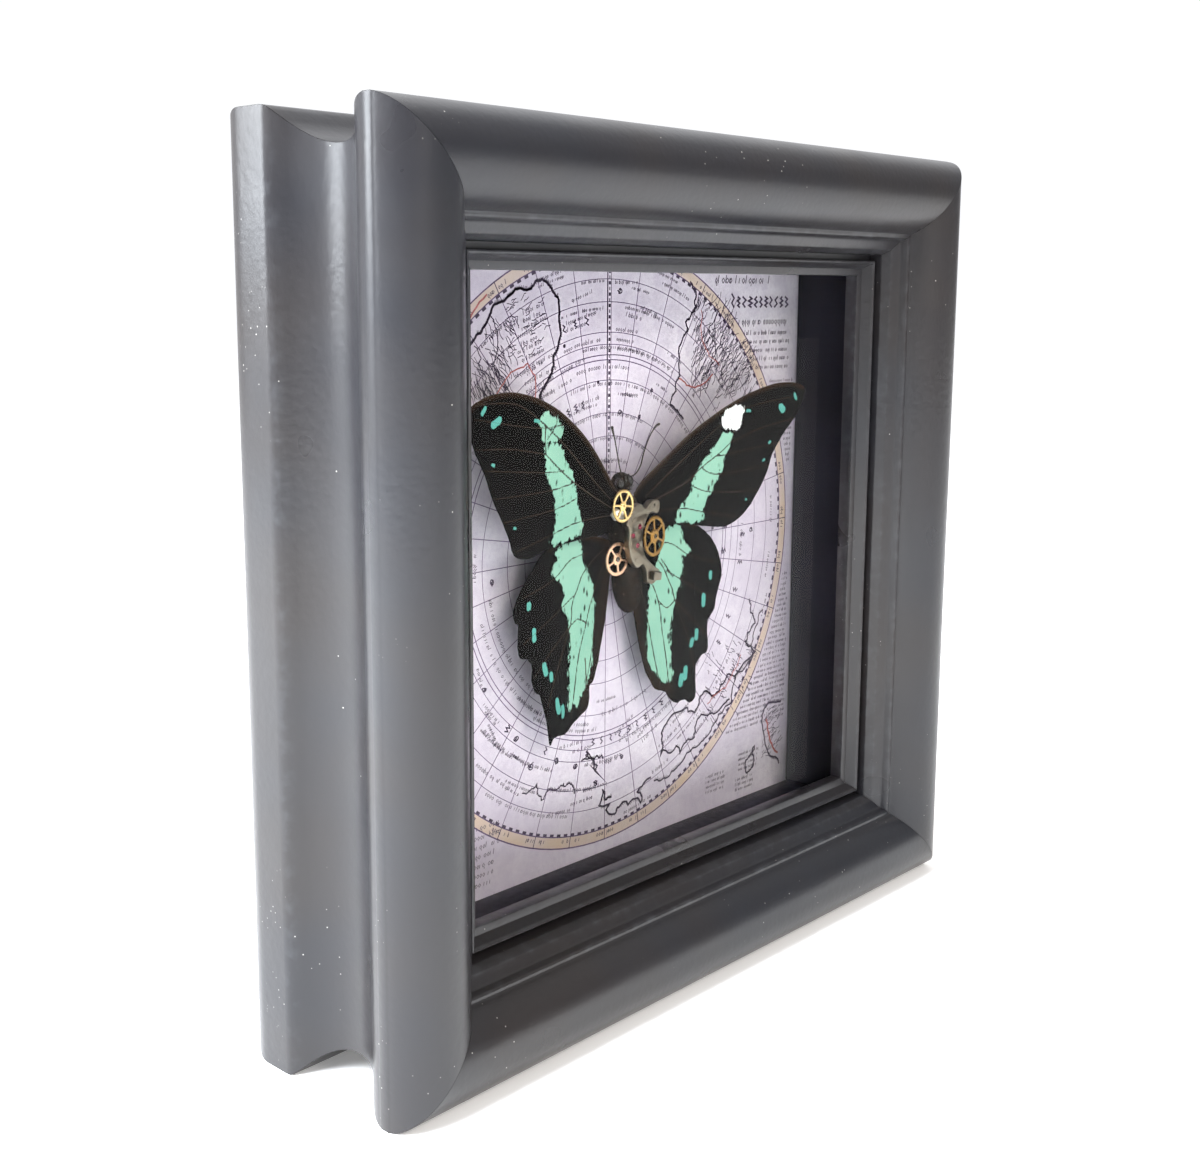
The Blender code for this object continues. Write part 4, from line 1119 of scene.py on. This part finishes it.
def buildWing(name, w, i, scales, veins):
    mesh = membrane(name, w, i)
    piece = finishPiece(name + "_membrane", mesh, scales, [name])
    thick = piece.modifiers.new("Thickness", "SOLIDIFY")
    thick.thickness = i["wingThickness"] * mm
    thick.offset = 0.0
    turn = wingPlace(w)
    lines = []
    for points, width in w["veins"]:
        line = smoothLine(points, False, 7)
        path = [turn @ Vector((w["side"] * u * mm, -(wingRise(w, u, v) + 0.05) * mm, v * mm)) for u,
                v in line]
        count = len(path)
        lines.append((path, [width * 0.5 * mm * (1.1 - 0.55 * k / count) for k in range(count)]))
    edge = smoothLine(w["outline"][:w["front"]], False, 6)
    path = [turn @ Vector((w["side"] * u * mm, -wingRise(w, u, v) * mm, v * mm)) for u, v in edge]
    lines.append((path, [0.13 * mm * (1.2 - 0.6 * k / len(path)) for k in range(len(path))]))
    finishPiece(name + "_veins", tubeMesh(name + "Veins", lines), veins, ())
    print(name, "has", len(mesh.polygons), "faces")


body = {"spot": (-0.5, 27.1, 78.0), "tilt": -5.5, "outline": [(0.0, 12.95), (0.7, 12.85), (1.3, 12.5),
        (1.75, 11.9), (1.95, 11.1), (1.85, 10.3), (1.5, 9.7), (1.35, 9.2), (1.9, 8.7), (2.6, 7.9),
        (3.1, 6.7), (3.35, 5.2), (3.4, 3.6), (3.35, 2.0), (3.15, 0.2), (2.85, -1.4), (2.55, -2.6),
        (2.4, -3.4), (2.55, -4.0)], "rings": 8, "abdomen": (-4.0, -13.6, 2.85), "segments": 56}


def bodyRadius(b, s):
    outline = b["outline"] + abdomenOutline(b)
    heights = [point[1] for point in outline][::-1]
    return float(np.interp(s, heights, [point[0] for point in outline][::-1]))


def abdomenOutline(b):
    # overlapping rings that narrow to the blunt tip
    top, tip, widest = b["abdomen"]
    points = []
    for ring in range(b["rings"]):
        for part, swell in ((0.15, 0.992), (0.5, 1.0), (0.85, 0.995), (0.97, 0.982)):
            share = (ring + part) / b["rings"]
            radius = widest * math.sqrt(max(0.0, 1 - max(0.0, (share - 0.30) / 0.72) ** 2.4))
            points.append((max(0.25, radius * swell), top + (tip - top) * share))
    points.append((0.0, tip - 0.15))
    return points


def buildBody(b, i):
    turn = Matrix.Translation(place(*b["spot"])) @ Matrix.Rotation(math.radians(b["tilt"]), 4, "Y")
    shape = bmesh.new()
    profile = [shape.verts.new((r * mm, 0.0, s * mm)) for r, s in b["outline"] + abdomenOutline(b)]
    for upper, lower in zip(profile, profile[1:]):
        shape.edges.new((upper, lower))
    bmesh.ops.spin(shape, geom=shape.verts[:] + shape.edges[:], cent=(0, 0, 0), axis=(0, 0, 1),
            dvec=(0, 0, 0), angle=2 * math.pi, steps=b["segments"], use_merge=True)
    bmesh.ops.remove_doubles(shape, verts=shape.verts, dist=0.000004)
    grain = random.Random(5)
    for vertex in shape.verts:
        s = vertex.co.z / mm
        flat = 0.93 if s > -3 else 0.97
        vertex.co.y *= flat
        if vertex.co.xy.length > 0.0002:
            vertex.co.xy *= 1.0 + grain.gauss(0, 0.008)
    hairRandom = random.Random(11)
    for _ in range(i["hairs"]):
        s = hairRandom.uniform(-12.8, 11.6)
        if s < -3 and hairRandom.random() < 0.45:
            continue
        angle = hairRandom.uniform(0, 2 * math.pi)
        radius = bodyRadius(b, s) * 0.96
        spot = Vector((radius * math.cos(angle), radius * 0.95 * math.sin(angle), s)) * mm
        lean = Vector((math.cos(angle), math.sin(angle), hairRandom.uniform(-1.6, -0.3) if s < 9 else 0.5))
        lean += Vector((hairRandom.gauss(0, 0.3), hairRandom.gauss(0, 0.3), hairRandom.gauss(0, 0.3)))
        length = hairRandom.uniform(0.5, 1.3) if s > -3 else hairRandom.uniform(0.25, 0.6)
        aim = lean.to_track_quat("Z", "Y").to_matrix().to_4x4()
        bmesh.ops.create_cone(shape, cap_ends=True, segments=3, radius1=0.035 * mm, radius2=0.006 * mm,
                depth=length * mm, matrix=Matrix.Translation(spot + lean.normalized() * length * 0.4 * mm)
                @ aim)
    bmesh.ops.transform(shape, matrix=turn, verts=shape.verts)
    material, tree, shader = newMaterial("bodyHair")
    coords = objectCoords(tree)
    tufts = noise(tree, coords, 1100.0, 4.0, 0.7)
    tone = mixColor(tree, ramp(tree, tufts, 0.4, 0.7), i["bodyTone"], i["hairTone"])
    pale = specks(tree, coords, 1500.0, 0.24, 0.16)
    tone = mixColor(tree, calc(tree, "MULTIPLY", pale, 0.85), tone, (0.42, 0.30, 0.21))
    tree.links.new(tone, shader.inputs["Base Color"])
    tree.links.new(ramp(tree, tufts, 0.3, 0.7, 0.5, 0.8), shader.inputs["Roughness"])
    bump(tree, shader, tufts, 0.5, 0.00012)
    shader.inputs["Specular IOR Level"].default_value = 0.12
    finishPiece("insect_body", meshFrom("body", shape, 0), material, ["body"])

    eyes = bmesh.new()
    for side in (-1, 1):
        ball = bmesh.ops.create_uvsphere(eyes, u_segments=28, v_segments=20, radius=1.05 * mm)["verts"]
        bmesh.ops.scale(eyes, vec=(0.8, 0.9, 1.05), verts=ball)
        bmesh.ops.translate(eyes, verts=ball, vec=(side * 1.25 * mm, -0.75 * mm, 11.2 * mm))
    for side in (-1, 1):
        # the two short feelers between the eyes
        cone = bmesh.ops.create_cone(eyes, cap_ends=True, segments=12, radius1=0.34 * mm, radius2=0.12 * mm,
                                     depth=1.5 * mm)["verts"]
        bmesh.ops.translate(eyes, verts=cone, vec=(side * 0.42 * mm, -1.6 * mm, 12.0 * mm))
    bmesh.ops.transform(eyes, matrix=turn, verts=eyes.verts)
    material, tree, shader = newMaterial("eyeGloss")
    facets = addNode(tree, "TexVoronoi", {"Vector": objectCoords(tree),
            "Scale": 9000.0}).outputs["Distance"]
    tree.links.new(mixColor(tree, ramp(tree, facets, 0.1, 0.6), (0.030, 0.018, 0.012),
            (0.012, 0.008, 0.006)), shader.inputs["Base Color"])
    shader.inputs["Roughness"].default_value = 0.16
    shader.inputs["Coat Weight"].default_value = 0.4
    bump(tree, shader, facets, 0.1, 0.00002)
    finishPiece("insect_eyes", meshFrom("eyes", eyes), material, ())


# corners are across, depth and height, in mm, from the head to the club
antennae = {"dark": (0.016, 0.011, 0.009), "brown": (0.05, 0.035, 0.026), "thickness": 0.115,
        "jointSwell": 0.10, "clubFrom": 0.78, "clubSwell": 1.25, "tipShare": 0.985, "tipNarrow": 0.55,
        "paths": {
            "left_antenna": [(-2.5, 26.2, 90.6), (-3.4, 25.9, 92.4), (-4.6, 25.4, 94.9),
                    (-6.0, 24.7, 97.4), (-7.5, 24.0, 99.8)],
            "right_antenna": [(-0.5, 26.2, 90.0), (1.2, 26.1, 90.4), (2.6, 26.0, 91.9),
                    (3.5, 26.0, 94.3), (5.0, 26.0, 97.0), (6.6, 26.0, 98.7), (7.8, 26.0, 99.3)]}}


def buildAntennae(a):
    material, tree, shader = newMaterial("antennaHorn")
    coords = objectCoords(tree)
    bands = noise(tree, coords, 2400.0, 2.0)
    tree.links.new(mixColor(tree, ramp(tree, bands, 0.4, 0.6), a["dark"], a["brown"]),
                   shader.inputs["Base Color"])
    tree.links.new(ramp(tree, bands, 0.3, 0.7, 0.35, 0.55), shader.inputs["Roughness"])
    bump(tree, shader, bands, 0.3, 0.00006)
    for name, corners in a["paths"].items():
        flat = smoothLine([(x, z) for x, depth, z in corners], False, 12)
        count = len(flat)
        points, radii = [], []
        for index, (x, z) in enumerate(flat):
            share = index / (count - 1)
            depth = np.interp(share * (len(corners) - 1), range(len(corners)), [c[1] for c in corners])
            points.append(place(x, depth, z))
            joint = 1.0 + a["jointSwell"] * (index % 2)
            club = 1.0 + a["clubSwell"] * max(0.0, (share - a["clubFrom"]) / (1.0 - a["clubFrom"])) ** 0.8 \
                * (1.0 if share < a["tipShare"] else a["tipNarrow"])
            radii.append(a["thickness"] * mm * joint * club)
        finishPiece(name + "_horn", tubeMesh(name, [(points, radii)], 4), material, [name])


scales = wingMaterial(insect)
veinHorn = veinMaterial(insect)
for wingName, wing in wings.items():
    buildWing(wingName, wing, insect, scales, veinHorn)
buildBody(body, insect)
buildAntennae(antennae)
print("butterfly done")


# watch parts

watch = {"nickel": (0.23, 0.20, 0.155), "paleGold": (0.95, 0.66, 0.28), "bronze": (0.50, 0.28, 0.07),
        "copper": (0.88, 0.55, 0.36), "steel": (0.14, 0.12, 0.10), "silver": (0.80, 0.80, 0.78),
        "ruby": (0.22, 0.012, 0.035)}


def metalMaterial(name, color, rough, tarnish=(0.16, 0.10, 0.06), tarnishShare=0.5, brushed=0.10):
    material, tree, shader = newMaterial(name)
    coords = objectCoords(tree)
    cloud = ramp(tree, noise(tree, coords, 900.0, 4.0, 0.65), 0.44, 0.70, 0.0, tarnishShare)
    grain = noise(tree, addNode(tree, "Mapping", {"Vector": coords,
            "Scale": (1.0, 1.0, 9.0)}).outputs["Vector"], 2600.0, 3.0)
    tone = mixColor(tree, cloud, color, tarnish)
    tone = mixColor(tree, ramp(tree, grain, 0.4, 0.8, 0.0, 0.3), tone, tuple(0.6 * x for x in color))
    tree.links.new(tone, shader.inputs["Base Color"])
    shader.inputs["Metallic"].default_value = 1.0
    tree.links.new(calc(tree, "ADD", ramp(tree, grain, 0.3, 0.7, rough - 0.05, rough + 0.08),
                        calc(tree, "MULTIPLY", cloud, 0.25)), shader.inputs["Roughness"])
    bump(tree, shader, grain, brushed, 0.00003)
    return material


def plateMesh(name, loops, thickness, bevelWidth, turn, sides=2):
    # a flat part with its outline first and its holes after, softened along every edge
    curve = bpy.data.curves.new(name, "CURVE")
    curve.dimensions = "2D"
    curve.fill_mode = "BOTH"
    curve.extrude = (thickness / 2 - bevelWidth) * mm
    curve.bevel_depth = bevelWidth * mm
    curve.bevel_resolution = sides
    curve.offset = -bevelWidth * mm
    for loop in loops:
        spline = curve.splines.new("POLY")
        spline.points.add(len(loop) - 1)
        for knot, point in zip(spline.points, loop):
            knot.co = (point[0] * mm, point[1] * mm, 0.0, 1.0)
        spline.use_cyclic_u = True
    holder = bpy.data.objects.new(name, curve)
    bpy.context.scene.collection.objects.link(holder)
    bpy.context.view_layer.update()
    mesh = bpy.data.meshes.new_from_object(holder.evaluated_get(bpy.context.evaluated_depsgraph_get()))
    bpy.data.objects.remove(holder, do_unlink=True)
    shape = bmesh.new()
    shape.from_mesh(mesh)
    bmesh.ops.remove_doubles(shape, verts=shape.verts, dist=0.000001)
    bmesh.ops.transform(shape, matrix=turn @ Matrix.Rotation(math.pi / 2, 4, "X"), verts=shape.verts)
    return shape


def turned(shape, outline, turn, steps=32):
    # a round part from its half section; the axis runs back through the depth of the box
    before = set(shape.verts)
    knots = [shape.verts.new((r * mm, d * mm, 0.0)) for r, d in outline]
    edges = [shape.edges.new(pair) for pair in zip(knots, knots[1:])]
    bmesh.ops.spin(shape, geom=knots + edges, cent=(0, 0, 0), axis=(0, 1, 0), dvec=(0, 0, 0),
            angle=2 * math.pi, steps=steps, use_merge=True)
    added = [v for v in shape.verts if v not in before]
    bmesh.ops.remove_doubles(shape, verts=added, dist=0.0000015)
    added = [v for v in shape.verts if v not in before]
    bmesh.ops.transform(shape, matrix=turn, verts=added)


def wheelLoops(radius, rim, hub, hole, spokes, spokeWidth, phase, teeth):
    outline = []
    for tooth in range(teeth):
        for part, reach in ((0.0, 0.0), (0.12, 0.17), (0.42, 0.17), (0.54, 0.0)):
            angle = 2 * math.pi * (tooth + part) / teeth
            outline.append(((radius - 0.17 + reach) * math.cos(angle),
                    (radius - 0.17 + reach) * math.sin(angle)))
    loops = [outline, arcPoints(0, 0, hole, 0, 360, 24)[:-1]]
    inside = radius - rim
    for spoke in range(spokes):
        start = phase + 360.0 / spokes * spoke
        stop = start + 360.0 / spokes
        outer = math.degrees(math.asin(spokeWidth / 2 / inside))
        near = math.degrees(math.asin(spokeWidth / 2 / hub))
        loops.append(arcPoints(0, 0, inside, start + outer, stop - outer, 14)
                     + arcPoints(0, 0, hub, stop - near, start + near, 7))
    return loops


def buildWheel(name, x, depth, z, swing, loops, material, boss):
    turn = Matrix.Translation(place(x, depth, z)) @ Matrix.Rotation(math.radians(swing), 4, "Z")
    shape = plateMesh(name, loops, 0.26, 0.035, turn, 1)
    if boss:
        inside, outside, height = boss
        turned(shape, [(inside, -0.13), (inside, -height), (outside - 0.05, -height),
                (outside, -height + 0.05), (outside, -0.13), (inside, -0.13)], turn)
    finishPiece(name + "_brass", meshFrom(name, shape, 0, 30), material, [name])


def buildBridge(s):
    nickel = metalMaterial("greyNickel", s["nickel"], 0.30, (0.12, 0.09, 0.06), 0.8, 0.2)
    outline = [(1.3, 85.8), (2.4, 85.9), (3.4, 85.6), (3.5, 84.3), (2.8, 83.4), (1.5, 83.8), (0.4, 83.3),
            (-0.3, 82.2), (-1.0, 80.6), (-1.2, 78.7), (-0.9, 77.0), (-0.3, 75.8), (0.8, 74.7), (2.5, 73.4),
            (3.8, 72.6), (3.3, 71.2), (1.8, 70.3), (0.4, 70.9), (0.1, 72.8), (-0.6, 74.0), (-1.1, 74.4),
            (-1.7, 74.1), (-2.6, 73.9), (-3.8, 75.1), (-4.5, 76.7), (-4.8, 78.6), (-4.7, 80.6),
            (-5.0, 81.6), (-5.5, 82.2), (-4.7, 83.7), (-3.2, 85.2), (-2.1, 85.6), (-1.3, 85.3),
            (-0.4, 84.5), (0.5, 85.2)]
    jewels = {"upper_jewel": (-1.9, 81.4), "middle_jewel": (-3.7, 79.9), "lower_jewel": (-2.4, 78.0)}
    loops = [smoothLine(outline, True, 3)]
    for x, z in jewels.values():
        loops.append(arcPoints(x, z, 0.5, 0, 360, 20)[:-1])
    loops.append(arcPoints(2.1, 85.0, 0.25, 0, 360, 14)[:-1])
    turn = Matrix.Translation(place(0.0, 22.7, 0.0))
    shape = plateMesh("bridge", loops, 1.4, 0.16, turn, 3)
    block = bmesh.ops.create_cube(shape, size=1.0)["verts"]
    bmesh.ops.scale(shape, vec=(2.1 * mm, 1.3 * mm, 1.6 * mm), verts=block)
    edges = list({edge for v in block for edge in v.link_edges})
    soft = bmesh.ops.bevel(shape, geom=edges, offset=0.16 * mm, segments=3, profile=0.5, affect="EDGES",
            material=-1)
    block = list({v for face in soft["faces"] for v in face.verts} | {v for v in block if v.is_valid})
    bmesh.ops.transform(shape, matrix=Matrix.Translation(place(1.95, 21.5, 71.9)) @ Matrix.Rotation(0.12, 4,
            "Y"), verts=block)
    for x, z, size in ((-3.9, 82.9, 0.42), (0.9, 84.7, 0.30), (-2.9, 75.4, 0.36)):
        # slotted screws sunk in the plate
        turned(shape, [(0.0, 0.0), (size * 0.9, 0.0), (size, 0.05), (size, 0.25), (0.0, 0.25)],
               Matrix.Translation(place(x, 21.93, z)), 20)
        bmesh.ops.create_cube(shape, size=1.0, matrix=Matrix.Translation(place(x, 21.95,
                z)) @ Matrix.Rotation(0.7, 4, "Y") @ Matrix.Diagonal((size * 1.5 * mm, 0.08 * mm,
                size * 0.25 * mm, 1.0)))
    finishPiece("nickel_bridge", meshFrom("bridge", shape, 0, 40), nickel, ["bridge_plate"])
    material, tree, shader = newMaterial("rubyJewel")
    cloud = noise(tree, objectCoords(tree), 2400.0, 2.0)
    tree.links.new(mixColor(tree, ramp(tree, cloud, 0.35, 0.7), s["ruby"],
            (0.34, 0.03, 0.07)), shader.inputs["Base Color"])
    shader.inputs["Roughness"].default_value = 0.08
    shader.inputs["Coat Weight"].default_value = 0.5
    bump(tree, shader, cloud, 0.05, 0.00002)
    for name, (x, z) in jewels.items():
        shape = bmesh.new()
        turned(shape, [(0.08, -0.30), (0.20, -0.42), (0.34, -0.46), (0.44, -0.38), (0.46, -0.25),
                (0.46, 0.42), (0.08, 0.42), (0.08, -0.30)], Matrix.Translation(place(x, 22.4, z)), 28)
        finishPiece(name + "_stone", meshFrom(name, shape, 0, 50), material, [name])


def buildWatchParts(s):
    buildBridge(s)
    gold = metalMaterial("paleGold", s["paleGold"], 0.22, (0.40, 0.20, 0.08), 0.35, 0.08)
    bronze = metalMaterial("bronzeGold", s["bronze"], 0.24, (0.25, 0.12, 0.04), 0.55, 0.08)
    copper = metalMaterial("copperWheel", s["copper"], 0.24, (0.30, 0.12, 0.06), 0.4, 0.08)
    steel = metalMaterial("darkSteel", s["steel"], 0.30, (0.05, 0.04, 0.03), 0.5, 0.1)
    silver = metalMaterial("silverPlate", s["silver"], 0.28, (0.35, 0.33, 0.30), 0.5, 0.12)
    buildWheel("top_wheel", -7.2, 21.5, 85.8, 3, wheelLoops(3.0, 0.58, 0.85, 0.2, 6, 0.36, -7, 60), gold,
               (0.2, 0.62, 0.22))
    buildWheel("large_wheel", 0.8, 20.9, 79.5, 10, wheelLoops(3.75, 0.62, 1.35, 0.45, 6, 0.36, 36, 72),
            bronze, (0.45, 1.02, 0.24))
    buildWheel("lower_wheel", -6.0, 23.9, 75.7, 0, wheelLoops(3.1, 0.64, 1.1, 0.5, 5, 0.38, -13, 60),
            copper, (0.5, 0.78, 0.20))
    for name, x, depth, z, swing, radius, reach in (("large_wheel_arbor", 0.8, 20.9, 79.5, 10, 0.42, 1.4),
                                                    ("lower_wheel_arbor", -6.0, 23.9, 75.7, 0, 0.48, 0.8)):
        turn = Matrix.Translation(place(x, depth, z)) @ Matrix.Rotation(math.radians(swing), 4, "Z")
        shape = bmesh.new()
        turned(shape, [(0.0, -0.62), (0.10, -0.60), (0.13, -0.5), (0.13, -0.38), (0.30, -0.36),
                (radius, -0.30), (radius, 0.2), (radius * 0.6, 0.3), (radius * 0.6, reach),
                (0.0, reach)], turn, 28)
        finishPiece(name + "_pin", meshFrom(name, shape, 0, 30), steel, [name])
    outline = [(-9.6, 84.4), (-8.1, 85.4), (-6.2, 84.6), (-6.3, 83.3), (-8.6, 83.2)]
    loops = [outline, arcPoints(-7.6, 84.3, 0.3, 0, 360, 16)[:-1]]
    shape = plateMesh("small", loops, 0.4, 0.08, Matrix.Translation(place(0.0, 22.3, 0.0)), 2)
    finishPiece("silver_scrap", meshFrom("small", shape, 0, 40), silver, ["small_plate"])


buildWatchParts(watch)
print("watch parts done")


# end


print("scene built")
